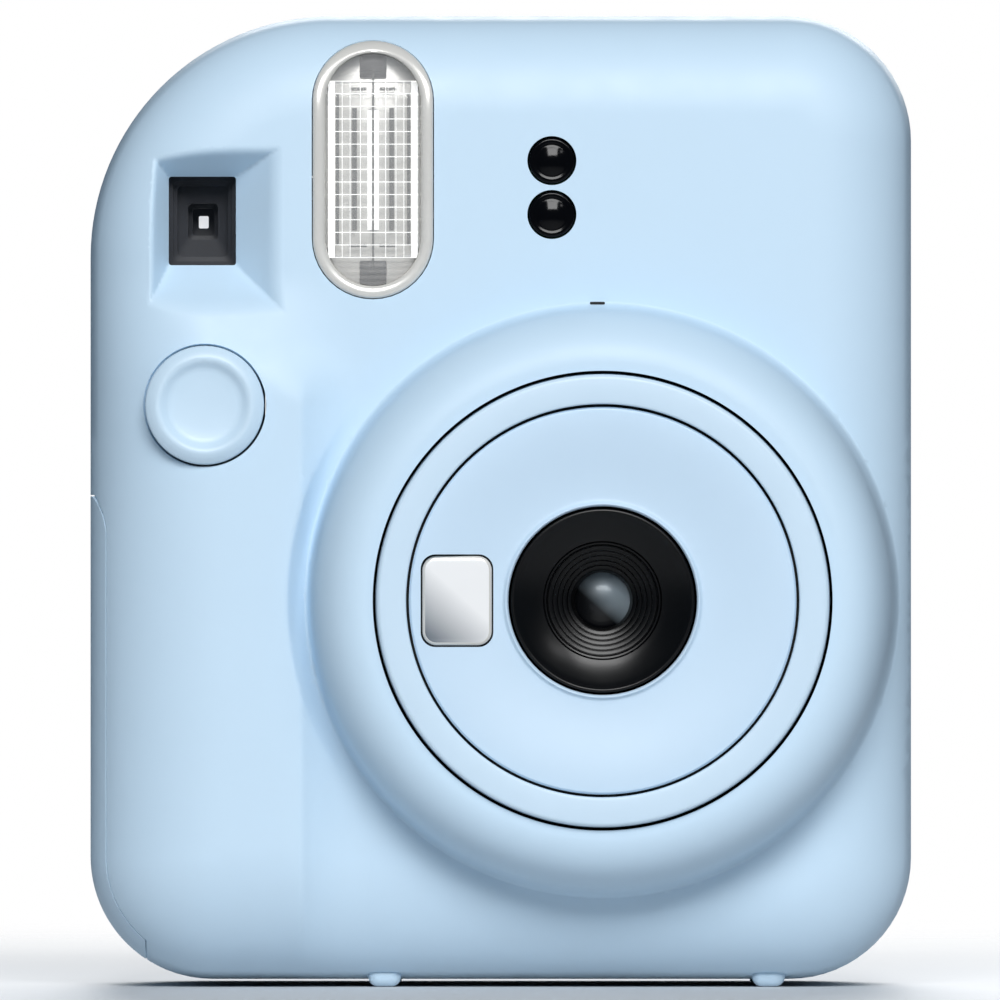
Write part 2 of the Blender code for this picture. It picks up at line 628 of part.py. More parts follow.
def lens_support():
    place = (LENS_X, 0, LENS_Z)
    flange = [(BORE_RADIUS, 11.7 * MM), (30.9 * MM, 11.7 * MM), (30.9 * MM, 6.5 * MM), (33 * MM, 6.5 * MM)]
    flange += [(33 * MM, 5.3 * MM), (24 * MM, 5.3 * MM), (24 * MM, 6.5 * MM), (BORE_RADIUS, 6.5 * MM)]
    turned("lens_guide", flange, place, "forward", "black", ring=True)
    mouth = 12 * MM
    skin = 1.2 * MM
    image = (IMAGE_SIZE[0] / 2, IMAGE_SIZE[1] / 2)
    rings = []
    for grow, front_y, back_y in ((skin, -5 * MM, 12.1 * MM), (0, -5.5 * MM, 12.6 * MM)):
        rings.append(
            (
                (LENS_X - mouth - grow, LENS_Z - mouth - grow),
                (LENS_X + mouth + grow, LENS_Z + mouth + grow),
                front_y,
                (LENS_X - image[0] - grow, LENS_Z - image[1] - grow),
                (LENS_X + image[0] + grow, LENS_Z + image[1] + grow),
                back_y,
            )
        )
    chamber = frustum("light_chamber", *rings[0], "black")
    cut(chamber, frustum("chamber_hollow", *rings[1]))
    frame = box("chassis", (DOOR_LEFT, 12.4 * MM, 5 * MM), (44.8 * MM, 14.4 * MM, 100 * MM), "black")
    corner = back_solid("chassis_limit", WALL + GAP, 0)
    keep(frame, corner)
    window_low = (LENS_X - image[0] - 0.5 * MM, 0, LENS_Z - image[1] - 0.5 * MM)
    window_high = (LENS_X + image[0] + 0.5 * MM, 20 * MM, LENS_Z + image[1] + 0.5 * MM)
    cut(frame, box("image_window", window_low, window_high))
    for z in CHASSIS_SCREW_ZS:
        cut(frame, rod(f"chassis_hole_{z}", 1.3 * MM, -20 * MM, 0, (CHASSIS_SCREW_X, 0, z), "forward"))


# Flash, finder, sensors and button


def flash_group():
    limit = front_solid("flash_limit", -0.3 * MM, 0)
    rim = stadium("flash_rim", 0, -0.025, -14 * MM, "pearl")
    keep(rim, limit)
    cut(rim, stadium("rim_hole", -1.5 * MM, -0.03, 0))
    window = stadium("flash_window", -1.8 * MM, -0.025, -16.6 * MM, "clear")
    keep(window, front_solid("flash_window_limit", 0, 0))
    trough_low = (-21.9 * MM, -14 * MM, 92.3 * MM)
    trough = box("flash_reflector", trough_low, (-10.4 * MM, -8 * MM, 114.5 * MM), "mirror")
    cut(trough, rod("reflector_hollow", 4.6 * MM, 93.5 * MM, 113.3 * MM, (FLASH_X, -14 * MM, 0), "z"))
    rod("flash_tube", 1.3 * MM, 94.2 * MM, 112.6 * MM, (FLASH_X, -12 * MM, 0), "z", "clear")
    rod("flash_capacitor", 5.5 * MM, 30 * MM, 64 * MM, (-23.6 * MM, 3 * MM, 0), "z", "black")


def windows():
    for name, z in SENSOR_ZS.items():
        dome = [(0, 19.4 * MM), (1.7 * MM, 19.3 * MM), (SENSOR_RADIUS, 18.9 * MM)]
        stem = [(SENSOR_RADIUS, 16 * MM), (0, 16 * MM)]
        turned(name, dome + stem, (SENSOR_X, 0, z), "forward", "glass")
    low = (FINDER_X - 5 * MM, -12.2 * MM, FINDER_Z - 6.3 * MM)
    box("viewfinder_window", low, (FINDER_X + 5 * MM, -11.2 * MM, FINDER_Z + 6.3 * MM), "glass")
    tunnel_low = (FINDER_X - 5.4 * MM, -10.9 * MM, FINDER_Z - 6.7 * MM)
    tunnel_high = (FINDER_X + 5.4 * MM, 28.2 * MM, FINDER_Z + 6.7 * MM)
    tunnel = box("viewfinder_tunnel", tunnel_low, tunnel_high, "black")
    hollow = (4.4 * MM, 5.7 * MM)
    hollow_low = (FINDER_X - hollow[0], -0.02, FINDER_Z - hollow[1])
    cut(tunnel, box("tunnel_hollow", hollow_low, (FINDER_X + hollow[0], 0.03, FINDER_Z + hollow[1])))
    half = (FINDER_PANE[0] / 2, FINDER_PANE[1] / 2)
    eye_low = (FINDER_X - half[0], 28.6 * MM, FINDER_Z - half[1])
    box("viewfinder_eyepiece", eye_low, (FINDER_X + half[0], 32.8 * MM, FINDER_Z + half[1]), "glass")


def shutter_button():
    place = (BUTTON_X, 0, BUTTON_Z)
    dish = [(0, 22.3 * MM), (3 * MM, 22.5 * MM), (5.1 * MM, 23.1 * MM), (6.3 * MM, 23.5 * MM)]
    edge = [(7.1 * MM, 23.2 * MM), (BUTTON_RADIUS, 22.5 * MM), (BUTTON_RADIUS, 17 * MM)]
    stem = [(2 * MM, 17 * MM), (2 * MM, 15.4 * MM), (0, 15.4 * MM)]
    turned("shutter_button", dish + edge + stem, place, "forward", "pale_blue")
    coil("button_spring", 3.2 * MM, 0.3 * MM, 4, 12.2 * MM, 16.6 * MM, place, "forward", "steel")
    box("button_switch", (-41 * MM, -10.2 * MM, 70 * MM), (-33.7 * MM, -7 * MM, 77 * MM), "black")


# Film and drive


def film_group():
    high = tuple(low + size for low, size in zip(PACK_LOW, PACK_SIZE))
    pack = box("film_cartridge", PACK_LOW, high, "film")
    wall = 1.4 * MM
    hollow_low = tuple(low + wall for low in PACK_LOW)
    hollow_high = tuple(value - wall for value in high)
    image = (IMAGE_SIZE[0] / 2, IMAGE_SIZE[1] / 2)
    cut(pack, box("pack_hollow", hollow_low, hollow_high))
    aperture_low = (LENS_X - image[0], 10 * MM, LENS_Z - image[1])
    aperture_high = (LENS_X + image[0], hollow_low[1] + 1 * MM, LENS_Z + image[1])
    cut(pack, box("pack_aperture", aperture_low, aperture_high))
    sheet = (27 * MM, 43 * MM)
    middle_z = PACK_LOW[2] + PACK_SIZE[2] / 2
    stack_low = (LENS_X - sheet[0], hollow_low[1] + GAP, middle_z - sheet[1])
    box("film_stack", stack_low, (LENS_X + sheet[0], hollow_low[1] + 5 * MM, middle_z + sheet[1]), "film")
    claw = box("film_claw", (-19.8 * MM, 15.4 * MM, 14 * MM), (-18.2 * MM, 18 * MM, 25 * MM), "nylon")
    join(claw, box("claw_hook", (-19 * MM, 15.8 * MM, 23 * MM), (-17.6 * MM, 16.9 * MM, 24.4 * MM)))
    shaft = [(0, -15 * MM), (1.2 * MM, -15 * MM), (1.2 * MM, -25 * MM)]
    disc = [(4.7 * MM, -25 * MM), (4.7 * MM, -26 * MM), (0, -26 * MM)]
    turned("counter_disc", shaft + disc, (COUNTER_X, 0, COUNTER_Z), "forward", "nylon")


def roller_group():
    for name, y in ROLLER_YS.items():
        start = ROLLER_LEFT - (5.2 * MM if name == "drive_roller" else 2.4 * MM)
        end = ROLLER_RIGHT + 2.2 * MM
        right = [(0, end), (SHAFT_RADIUS, end), (SHAFT_RADIUS, ROLLER_RIGHT)]
        middle = [(ROLLER_RADIUS, ROLLER_RIGHT), (ROLLER_RADIUS, ROLLER_LEFT)]
        profile = right + middle + [(SHAFT_RADIUS, ROLLER_LEFT), (SHAFT_RADIUS, start), (0, start)]
        turned(name, profile, (0, y, ROLLER_Z), "x", "steel" if name == "drive_roller" else "rubber")
    for side, x in (("left", ROLLER_LEFT - 1.9 * MM), ("right", ROLLER_RIGHT + 0.4 * MM)):
        low = (x, 6.5 * MM, 103.6 * MM)
        bracket = box(f"roller_bracket_{side}", low, (x + 1.4 * MM, 26.5 * MM, 112.5 * MM), "steel")
        for name, y in ROLLER_YS.items():
            hole = rod(f"{side}_{name}_hole", SHAFT_RADIUS + GAP, -0.05, 0.05, (0, y, ROLLER_Z), "x")
            cut(bracket, hole)


def gear_places():
    """(y, z) of each gear's axis. The three stand in one line, and each pair meshes at its pitch circles."""
    pitch = {name: GEAR_MODULE * teeth / 2 for name, teeth in GEAR_TEETH.items()}
    roller = Vector((ROLLER_YS["drive_roller"], ROLLER_Z))
    reach = pitch["roller_gear"] + 2 * pitch["idler_gear"] + pitch["motor_pinion"]
    across = roller.x
    line = Vector((-across, -math.sqrt(reach**2 - across**2))) / reach
    idler = roller + line * (pitch["roller_gear"] + pitch["idler_gear"])
    return {"roller_gear": roller, "idler_gear": idler, "motor_pinion": roller + line * reach}, line


def gear(name, bore, phase):
    """A spur gear whose first tooth points at this angle in the plane across its axis."""
    teeth = GEAR_TEETH[name]
    pitch = GEAR_MODULE * teeth / 2
    place = gear_places()[0][name]
    step = 2 * math.pi / teeth
    rings = []
    for x in (GEAR_X, GEAR_X + GEAR_WIDTH):
        ring = []
        for tooth in range(teeth):
            for share, height in ((-0.27, -1.2), (-0.11, 0.75), (0.11, 0.75), (0.27, -1.2)):
                angle = phase + (tooth + share) * step
                radius = pitch + height * GEAR_MODULE
                ring.append((x, place.x + radius * math.cos(angle), place.y + radius * math.sin(angle)))
        rings.append(ring)
    made = loft(name, rings, "nylon")
    if bore:
        cut(made, rod(f"{name}_bore", bore, -0.05, 0, (0, place.x, place.y), "x"))


def drive_group():
    places, line = gear_places()
    along = math.atan2(line.y, line.x)
    half_step = math.pi / GEAR_TEETH["idler_gear"]
    gear("roller_gear", SHAFT_RADIUS + GAP, along)
    gear("idler_gear", 0, along + half_step)
    gear("motor_pinion", 0, along + math.pi)
    place = (0, places["motor_pinion"].x, places["motor_pinion"].y)
    can = [(0, 16 * MM), (6 * MM, 16 * MM), (6 * MM, -12 * MM)]
    shaft = [(1 * MM, -12 * MM), (1 * MM, -17.4 * MM), (0, -17.4 * MM)]
    turned("drive_motor", can + shaft, place, "x", "steel")
    box("main_board", (-7 * MM, -12.4 * MM, 86 * MM), (43 * MM, -10.8 * MM, 113 * MM), "board")


def battery_group():
    for number, y in enumerate(CELL_YS, 1):
        top = CELL_LOW + CELL_LENGTH
        profile = [(0, top), (2.6 * MM, top), (2.6 * MM, top - 1.3 * MM), (CELL_RADIUS, top - 1.3 * MM)]
        profile += [(CELL_RADIUS, CELL_LOW), (0, CELL_LOW)]
        turned(f"battery_{number}", profile, (CELL_X, y, 0), "z", "cell")
    tray = box("battery_tray", (-45 * MM, -12.9 * MM, 8.2 * MM), (-31.4 * MM, 20.3 * MM, 64.6 * MM), "black")
    cut(tray, box("tray_hollow", (-0.06, -11.6 * MM, 9.7 * MM), (-33 * MM, 19 * MM, 63.1 * MM)))
    for name, low in (("battery_contact_upper", 62 * MM), ("battery_contact_lower", 10.1 * MM)):
        box(name, (-44.8 * MM, -11.2 * MM, low), (-34 * MM, 18.6 * MM, low + 0.7 * MM), "steel")


# Fasteners


def screw(name, place, axis, head_top):
    """A small pan-head screw with its head's top at this height on its axis."""
    under = head_top - 1.1 * MM
    head = [(0, head_top), (1.2 * MM, head_top), (1.8 * MM, head_top - 0.5 * MM), (1.8 * MM, under)]
    shank = [(1 * MM, under), (1 * MM, head_top - 7 * MM), (0, head_top - 7.4 * MM)]
    return turned(name, head + shank, place, axis, "steel")


def screws():
    for number, x in enumerate(CASE_SCREW_XS, 1):
        made = screw(f"case_screw_{number}", (0, 0, 0), "z", -1.4 * MM)
        made.matrix_world = Matrix.Translation((x, CASE_SCREW_Y, 0)) @ Matrix.Rotation(math.pi, 4, "X")
    for number, z in enumerate(CHASSIS_SCREW_ZS, 1):
        made = screw(f"chassis_screw_{number}", (0, 0, 0), "z", 15.8 * MM)
        turn = Matrix.Rotation(-math.pi / 2, 4, "X")
        made.matrix_world = Matrix.Translation((CHASSIS_SCREW_X, 0, z)) @ turn


def shade_round_pieces():
    for obj in PARTS.objects:
        if obj.type == "MESH" and any(modifier.type == "SCREW" for modifier in obj.modifiers):
            obj.data.shade_smooth()


front_cover()
rear_body()
battery_cover()
back_cover()
door_fittings()
strap_lugs()
lens_group()
shutter()
lens_support()
flash_group()
windows()
shutter_button()
film_group()
roller_group()
drive_group()
battery_group()
screws()
shade_round_pieces()
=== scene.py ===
"""Looks of the instant film camera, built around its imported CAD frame.

Shapes are worked out in millimetres and made in metres. "Forward" is -y, towards the viewer, and a
forward height is how far a surface stands in front of the frame's origin plane.
"""

import json
import math

import bmesh
import bpy
import numpy as np
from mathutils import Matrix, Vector, geometry, kdtree


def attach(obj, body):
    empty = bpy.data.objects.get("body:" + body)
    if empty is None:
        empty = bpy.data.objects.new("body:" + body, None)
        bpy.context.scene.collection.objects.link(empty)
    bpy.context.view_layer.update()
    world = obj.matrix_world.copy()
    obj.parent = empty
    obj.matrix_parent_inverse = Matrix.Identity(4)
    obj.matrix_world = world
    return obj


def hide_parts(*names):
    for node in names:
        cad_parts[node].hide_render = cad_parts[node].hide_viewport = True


MM = 0.001

# The casing, as the CAD has it
HALF_WIDTH = 52.0
BASE_Z = 0.95
TOP_Z = 122.95
SIDE_FORWARD = 8.0
SEAM_FORWARD = -3.85
FACE_RISE = 11.0
FACE_EDGE = 12.5
SKIN = 1.8
SIDE_ROWS = 6
CORNERS = {
    "top_right": (1, 1, 15.8),
    "top_left": (-1, 1, 30.5),
    "low_left": (-1, -1, 15.5),
    "low_right": (1, -1, 15.4),
}
CROWN_FORWARD = 31.9

# The lens dome
LENS_X = 12.8
LENS_Z = 49.0
LENS = (LENS_X, LENS_Z)
BORE = 28.9
DOME_FLAT = 29.9
DOME_RADIUS = 36.5
DOME_DROP = 8.4
FOOT_TOP = (36.467, 24.34)
FOOT_RUN = 0.42
FOOT_END = 0.75
MOAT_RADIUS = 39.7
MOAT_FALL = 2.9

# The grip
CREASE_X = -25.1
CREASE_TOP = 73.4
GRIP_RISE = 3.0
GRIP_EDGE = 4.5
GRIP_FALL = 8.5

# Holes in the face
BUTTON = (-37.35, 73.6)
BUTTON_HOLE = 7.78
FLASH = (-16.15, 103.4)
FLASH_HALF = (7.6, 16.3)
FLASH_CLEAR_Z = (92.3, 114.6)
WINDOW_BACK = 15.6
GRID_ROWS = 14
SENSOR_X = 6.45
SENSOR_ZS = (104.5, 97.7)
SENSOR_HOLE = 3.1
PANE = (-37.75, 96.95)
PANE_HALF = (4.25, 5.6)
PANE_FORWARD = 13.5
FUNNEL_LOW = (-44.5, 86.1)
FUNNEL_HIGH = (-28.1, 105.9)
FUNNEL_FORWARD = 19.4

# The mirror on the lens panel
MIRROR = (-5.5, 49.0)
MIRROR_HALF = (4.35, 5.6)
MIRROR_CORNER = 1.75

# The battery cover's region on the left side
COVER_X = -44.9
COVER_FORWARD = 14.7
COVER_BACK = -22.0
COVER_TOP = 62.2
COVER_CORNER = 5.0
GAP = 0.08

# The studio, in metres, with the lens in mm
CAMERA_LENS = 765
SEEN_WIDTH = 0.1262
CAMERA_HEIGHT = 0.06165
FLOOR_SOLID = 0.10
FLOOR_GONE = 0.42


def srgb(red, green, blue):
    """Linear values of a colour given in screen values from 0 to 255."""
    return tuple(
        channel / 255 / 12.92 if channel <= 10 else ((channel / 255 + 0.055) / 1.055) ** 2.4
        for channel in (red, green, blue)
    )


# Materials


def new_material(name):
    found = bpy.data.materials.new(name)
    found.use_nodes = True
    tree = found.node_tree
    return found, tree.nodes, tree.links, tree.nodes["Principled BSDF"]


def put(node, **values):
    """Sets a node's inputs by name, with underscores for spaces."""
    for name, value in values.items():
        node.inputs[name.replace("_", " ")].default_value = value


def noise(nodes, links, scale, detail=3.0, stretch=None):
    """A noise texture in object space, in features per metre."""
    place = nodes.new("ShaderNodeTexCoord")
    texture = nodes.new("ShaderNodeTexNoise")
    put(texture, Scale=scale, Detail=detail)
    source = place.outputs["Object"]
    if stretch:
        mapping = nodes.new("ShaderNodeMapping")
        put(mapping, Scale=stretch)
        links.new(source, mapping.inputs["Vector"])
        source = mapping.outputs["Vector"]
    links.new(source, texture.inputs["Vector"])
    return texture.outputs["Fac"]


def spread(nodes, links, source, low, high, start=0.3, stop=0.7):
    """The source's range from start to stop, spread over low to high."""
    span = nodes.new("ShaderNodeMapRange")
    put(span, From_Min=start, From_Max=stop, To_Min=low, To_Max=high)
    links.new(source, span.inputs["Value"])
    return span.outputs["Result"]


def blend_colours(nodes, links, factor, first, second):
    ramp = nodes.new("ShaderNodeValToRGB")
    ramp.color_ramp.elements[0].color = (*first, 1)
    ramp.color_ramp.elements[1].color = (*second, 1)
    links.new(factor, ramp.inputs["Fac"])
    return ramp.outputs["Color"]


def moulded(name, colour, roughness, vary=0.03, grain=9000, bump=0.04, metallic=0.0, **sockets):
    """A moulded or machined surface: slow colour and gloss drift, and a fine grain in its bump."""
    made, nodes, links, shader = new_material(name)
    darker = tuple(value * (1 - vary) for value in colour)
    lighter = tuple(min(1, value * (1 + vary)) for value in colour)
    drift = noise(nodes, links, 60)
    links.new(blend_colours(nodes, links, drift, darker, lighter), shader.inputs["Base Color"])
    fine = noise(nodes, links, grain, 2.0)
    gloss = spread(nodes, links, noise(nodes, links, 220), roughness * 0.92, roughness * 1.08)
    links.new(gloss, shader.inputs["Roughness"])
    dents = nodes.new("ShaderNodeBump")
    put(dents, Strength=bump, Distance=0.00004)
    links.new(fine, dents.inputs["Height"])
    links.new(dents.outputs["Normal"], shader.inputs["Normal"])
    put(shader, Metallic=metallic, **sockets)
    return made


def clear_plastic(name, tint, roughness, alpha, vary=0.02):
    """A thin clear or smoked pane, which lets light in as well as out."""
    return moulded(name, tint, roughness, vary, 3000, 0.01, Alpha=alpha, IOR=1.49)


def painted_reflection_plate(name, middle, reach, dim, bright, roughness, coat):
    """A plate whose colour carries a painted reflection: its tone rises to the upper right, over
    this reach in mm.
    """
    across = 0.9
    made, nodes, links, shader = new_material(name)
    place = nodes.new("ShaderNodeTexCoord")
    split = nodes.new("ShaderNodeSeparateXYZ")
    links.new(place.outputs["Object"], split.inputs["Vector"])
    lift = nodes.new("ShaderNodeMath")
    lift.operation = "MULTIPLY_ADD"
    links.new(split.outputs["X"], lift.inputs[0])
    lift.inputs[1].default_value = across
    links.new(split.outputs["Z"], lift.inputs[2])
    centre = middle[1] + middle[0] * across
    low, high = ((centre + shift) * MM for shift in reach)
    share = spread(nodes, links, lift.outputs["Value"], 0, 1, low, high)
    tone = blend_colours(nodes, links, share, dim, bright)
    links.new(tone, shader.inputs["Base Color"])
    gloss = spread(nodes, links, noise(nodes, links, 300), roughness * 0.9, roughness * 1.1)
    links.new(gloss, shader.inputs["Roughness"])
    put(shader, Metallic=0.1, Coat_Weight=coat)
    return made


def brushed(name, colour, roughness, stretch):
    """Metal with fine parallel scratches."""
    made = moulded(name, colour, roughness, 0.05, 4000, 0.02, 1.0)
    nodes, links = made.node_tree.nodes, made.node_tree.links
    shader = nodes["Principled BSDF"]
    lines = noise(nodes, links, 2500, 3.0, stretch)
    gloss = spread(nodes, links, lines, roughness * 0.75, roughness * 1.25)
    links.new(gloss, shader.inputs["Roughness"])
    return made


BODY = srgb(199, 223, 241)
# Emission that makes the flash tube and the window's white grid lines glow: painted light, as the
# flash is not firing.
PAINTED_GLOW = {"Emission_Color": (1.0, 1.0, 0.98, 1.0), "Emission_Strength": 0.5}
MATERIALS = {
    "body": moulded("body_plastic", BODY, 0.50, 0.012, 7000, 0.05, Specular_IOR_Level=0.45),
    "panel": moulded("panel_plastic", srgb(198, 221, 240), 0.44, 0.012, 7000, 0.04),
    "ring": moulded("ring_plastic", srgb(202, 224, 241), 0.42, 0.012, 7000, 0.03),
    "button": moulded("button_plastic", srgb(201, 224, 241), 0.40, 0.012, 7000, 0.03),
    "inside": moulded("inside_plastic", srgb(120, 140, 158), 0.55, 0.04, 5000, 0.08),
    "black": moulded("black_plastic_fine", srgb(26, 25, 26), 0.42, 0.10, 6000, 0.10),
    "gloss_black": moulded(
        "black_plastic_gloss", srgb(3, 3, 5), 0.12, 0.10, 3000, 0.02, Specular_IOR_Level=0.2
    ),
    "lens_black": moulded(
        "black_lens_tube", srgb(3, 3, 4), 0.30, 0.10, 6000, 0.02, Specular_IOR_Level=0.3
    ),
    "finder": moulded("finder_frame", srgb(92, 95, 103), 0.40, 0.05, 3000, 0.02),
    "dark": moulded("smoked_window", srgb(8, 9, 12), 0.06, 0.10, 2000, 0.0, Coat_Weight=0.6),
    "tinted": clear_plastic("tinted_pane", srgb(6, 7, 9), 0.03, 0.45),
    "glass": moulded("coated_lens", srgb(20, 24, 32), 0.09, 0.10, 2000, 0.0, Coat_Weight=1.0),
    "pearl": moulded("pearl_rim", srgb(218, 216, 211), 0.24, 0.09, 900, 0.05, 0.15),
    "clear": clear_plastic("clear_prism", srgb(252, 252, 252), 0.06, 0.14),
    # Grey strips of painted shade: the dark streaks that the flash reflector's facets show.
    "streak": moulded("flash_shadow_line", srgb(70, 70, 66), 0.35, 0.08, 1500, 0.0, 0.4),
    # The mirror's colour carries a painted reflection: white at the upper right, grey at the lower
    # left.
    "mirror": painted_reflection_plate(
        "mirror_painted_reflection", MIRROR, (-8, 1), srgb(112, 120, 128), srgb(254, 254, 254), 0.12, 1.0
    ),
    # The front glass's colour carries a painted reflection: a bluish sheen at the upper right over
    # near black.
    "front_glass": painted_reflection_plate(
        "lens_painted_reflection", LENS, (-1.5, 3.0), srgb(8, 10, 14), srgb(170, 186, 196), 0.32, 0.15
    ),
    "chrome": moulded("flash_mirror", srgb(226, 227, 225), 0.22, 0.02, 1500, 0.05, 0.5),
    "tube": moulded("flash_tube_glass_painted_glow", srgb(252, 252, 250), 0.12, 0.01, 1500, 0.0, **PAINTED_GLOW),
    "steel": brushed("plain_steel", srgb(176, 178, 181), 0.32, (1, 1, 18)),
    "rubber": moulded("roller_rubber", srgb(34, 34, 34), 0.75, 0.15, 5000, 0.3),
    "board": moulded("board_mask", srgb(22, 88, 54), 0.42, 0.15, 2500, 0.15),
    "nylon": moulded("natural_nylon", srgb(222, 219, 208), 0.48, 0.03, 4000, 0.1),
    "film": moulded("cartridge_plastic", srgb(46, 46, 48), 0.52, 0.10, 4500, 0.2),
    "cell": moulded("cell_sleeve", srgb(196, 158, 74), 0.33, 0.05, 1500, 0.03, 0.3),
}
CAD_MATERIALS = {
    "body_blue": "body",
    "trim_blue": "ring",
    "black_plastic": "black",
    "dark_window": "dark",
    "optical_glass": "glass",
    "clear_window": "clear",
    "pearl": "pearl",
    "mirror": "mirror",
    "bright_metal": "chrome",
    "steel": "steel",
    "rubber": "rubber",
    "board": "board",
    "nylon": "nylon",
    "film_black": "film",
    "cell_jacket": "cell",
}


# The casing's outline


def smooth_step(value):
    value = np.clip(value, 0, 1)
    return value * value * (3 - 2 * value)


def inset_from_outline(x, z):
    """How far each point lies inside the casing's outline, and the way out of it."""
    sides = np.stack([HALF_WIDTH - x, x + HALF_WIDTH, TOP_Z - z, z - BASE_Z])
    nearest = np.argmin(sides, axis=0)
    inset = np.min(sides, axis=0)
    out_x = np.choose(nearest, [1.0, -1.0, 0.0, 0.0])
    out_z = np.choose(nearest, [0.0, 0.0, 1.0, -1.0])
    for sign_x, sign_z, radius in CORNERS.values():
        from_x = x - sign_x * (HALF_WIDTH - radius)
        from_z = z - ((TOP_Z - radius) if sign_z > 0 else (BASE_Z + radius))
        inside = (from_x * sign_x > 0) & (from_z * sign_z > 0)
        reach = np.maximum(np.hypot(from_x, from_z), 1e-9)
        inset = np.where(inside, radius - reach, inset)
        out_x = np.where(inside, from_x / reach, out_x)
        out_z = np.where(inside, from_z / reach, out_z)
    return inset, out_x, out_z


def outline_points(inset, step=1.5):
    """Points round the outline at this inset, anticlockwise from the right side."""
    points = []
    for quarter, name in enumerate(CORNERS):
        sign_x, sign_z, radius = CORNERS[name]
        level = TOP_Z - radius if sign_z > 0 else BASE_Z + radius
        middle = (sign_x * (HALF_WIDTH - radius), level)
        count = max(8, round(radius * math.pi / 2 / step))
        for number in range(count + 1):
            angle = (quarter + number / count) * math.pi / 2
            points.append(polar(middle, max(radius - inset, 0.01), angle))
        end = points[-1]
        next_x, _, next_radius = CORNERS[list(CORNERS)[(quarter + 1) % 4]]
        if quarter % 2 == 0:
            target = (next_x * (HALF_WIDTH - next_radius), end[1])
        else:
            target = (end[0], BASE_Z + next_radius if quarter == 1 else TOP_Z - next_radius)
        pieces = max(1, round(math.dist(end, target) / (step * 1.3)))
        points += [between(end, target, number / pieces) for number in range(1, pieces)]
    return points


# The face's shape


def ramp_up(value, soft):
    """Zero below zero and the value above it, rounded over about this width."""
    return (value + np.sqrt(value * value + soft * soft)) / 2


def softer_max(first, second, soft):
    share = np.maximum(soft - np.abs(first - second), 0) / soft
    return np.maximum(first, second) + share * share * soft / 4


def dome_profile(radius):
    """The dome's height over the face: a flat crown, a round shoulder, a steep wall and a foot."""
    face = SIDE_FORWARD + FACE_RISE
    turn = np.clip((radius - DOME_FLAT) / (DOME_RADIUS - DOME_FLAT), 0, 0.9999)
    swell = CROWN_FORWARD - DOME_DROP * (1 - np.sqrt(1 - turn * turn))
    start, top = FOOT_TOP
    knee = start + FOOT_RUN
    end = knee + FOOT_END
    bend = end - 2 * knee + start
    reach = np.clip(radius, start, end) - start
    slope = knee - start
    share = np.clip((np.sqrt(slope * slope + bend * reach) - slope) / bend, 0, 1)
    foot = (1 - share) ** 2 * top + 2 * share * (1 - share) * face + share**2 * face
    return np.where(radius < start, swell, foot) - face


def face_height(x, z):
    """Forward height of the front cover's outer surface."""
    x = np.asarray(x, float)
    z = np.asarray(z, float)
    inset, _, _ = inset_from_outline(x, z)
    from_x, from_z = x - LENS_X, z - LENS_Z
    radius = np.hypot(from_x, from_z)
    along = 1 - smooth_step((z - 77.5) / 13.0)
    knee = 0.22 + 6.0 * smooth_step((z - CREASE_TOP) / 9.0)
    past = ramp_up(x - CREASE_X, knee) / GRIP_FALL
    across = np.clip(1 - past, 0, 1) ** 2.2
    clear = np.clip(1 - ramp_up(MOAT_RADIUS - radius, 0.25) / MOAT_FALL, 0, 1) ** 1.6
    grip = along * across * clear
    edge_width = FACE_EDGE + GRIP_EDGE * along * np.clip(-x / 30, 0, 1)
    edge = 1 - np.clip(inset / edge_width, 0, 1)
    base = SIDE_FORWARD + (FACE_RISE + GRIP_RISE * grip) * np.sqrt(np.maximum(1 - edge * edge, 0))
    dome = dome_profile(radius) / (CROWN_FORWARD - SIDE_FORWARD - FACE_RISE)
    base = base + (CROWN_FORWARD - base) * np.clip(dome, 0, 1)
    funnel = finder_funnel(x, z)
    return -softer_max(-base, -funnel, 1.1)


def finder_funnel(x, z):
    """Height of the four sloping sides that lead down to the viewfinder's pane."""
    drop = FUNNEL_FORWARD - PANE_FORWARD
    sides = []
    for value, start, middle, half in (
        (x, FUNNEL_LOW[0], PANE[0], -PANE_HALF[0]),
        (x, FUNNEL_HIGH[0], PANE[0], PANE_HALF[0]),
        (z, FUNNEL_LOW[1], PANE[1], -PANE_HALF[1]),
        (z, FUNNEL_HIGH[1], PANE[1], PANE_HALF[1]),
    ):
        end = middle + half
        sides.append(PANE_FORWARD + drop * (value - end) / (start - end))
    first = softer_max(sides[0], sides[1], 0.2)
    second = softer_max(sides[2], sides[3], 0.2)
    return softer_max(first, second, 0.35)


def face_normals(x, z, height=face_height, step=0.06):
    """Outward normals of a forward height field."""
    slope_x = (height(x + step, z) - height(x - step, z)) / (2 * step)
    slope_z = (height(x, z + step) - height(x, z - step)) / (2 * step)
    normals = np.stack([-slope_x, -np.ones_like(slope_x), -slope_z], axis=1)
    return normals / np.linalg.norm(normals, axis=1)[:, None]


# Meshes


def polar(middle, radius, angle):
    return (middle[0] + radius * math.cos(angle), middle[1] + radius * math.sin(angle))


def between(first, last, share):
    return (first[0] + (last[0] - first[0]) * share, first[1] + (last[1] - first[1]) * share)


def circle(middle, radius, count):
    return [polar(middle, radius, 2 * math.pi * number / count) for number in range(count)]


def stadium(middle, half, grow, count=20):
    """An upright slot with round ends."""
    radius = half[0] + grow
    straight = half[1] - half[0]
    points = []
    for sign in (1, -1):
        end = (middle[0], middle[1] + sign * straight)
        for number in range(count + 1):
            angle = (0 if sign > 0 else math.pi) + number / count * math.pi
            points.append(polar(end, radius, angle))
        for number in range(1, 12):
            level = middle[1] + sign * straight * (1 - number / 6)
            points.append((middle[0] - sign * radius, level))
    return points


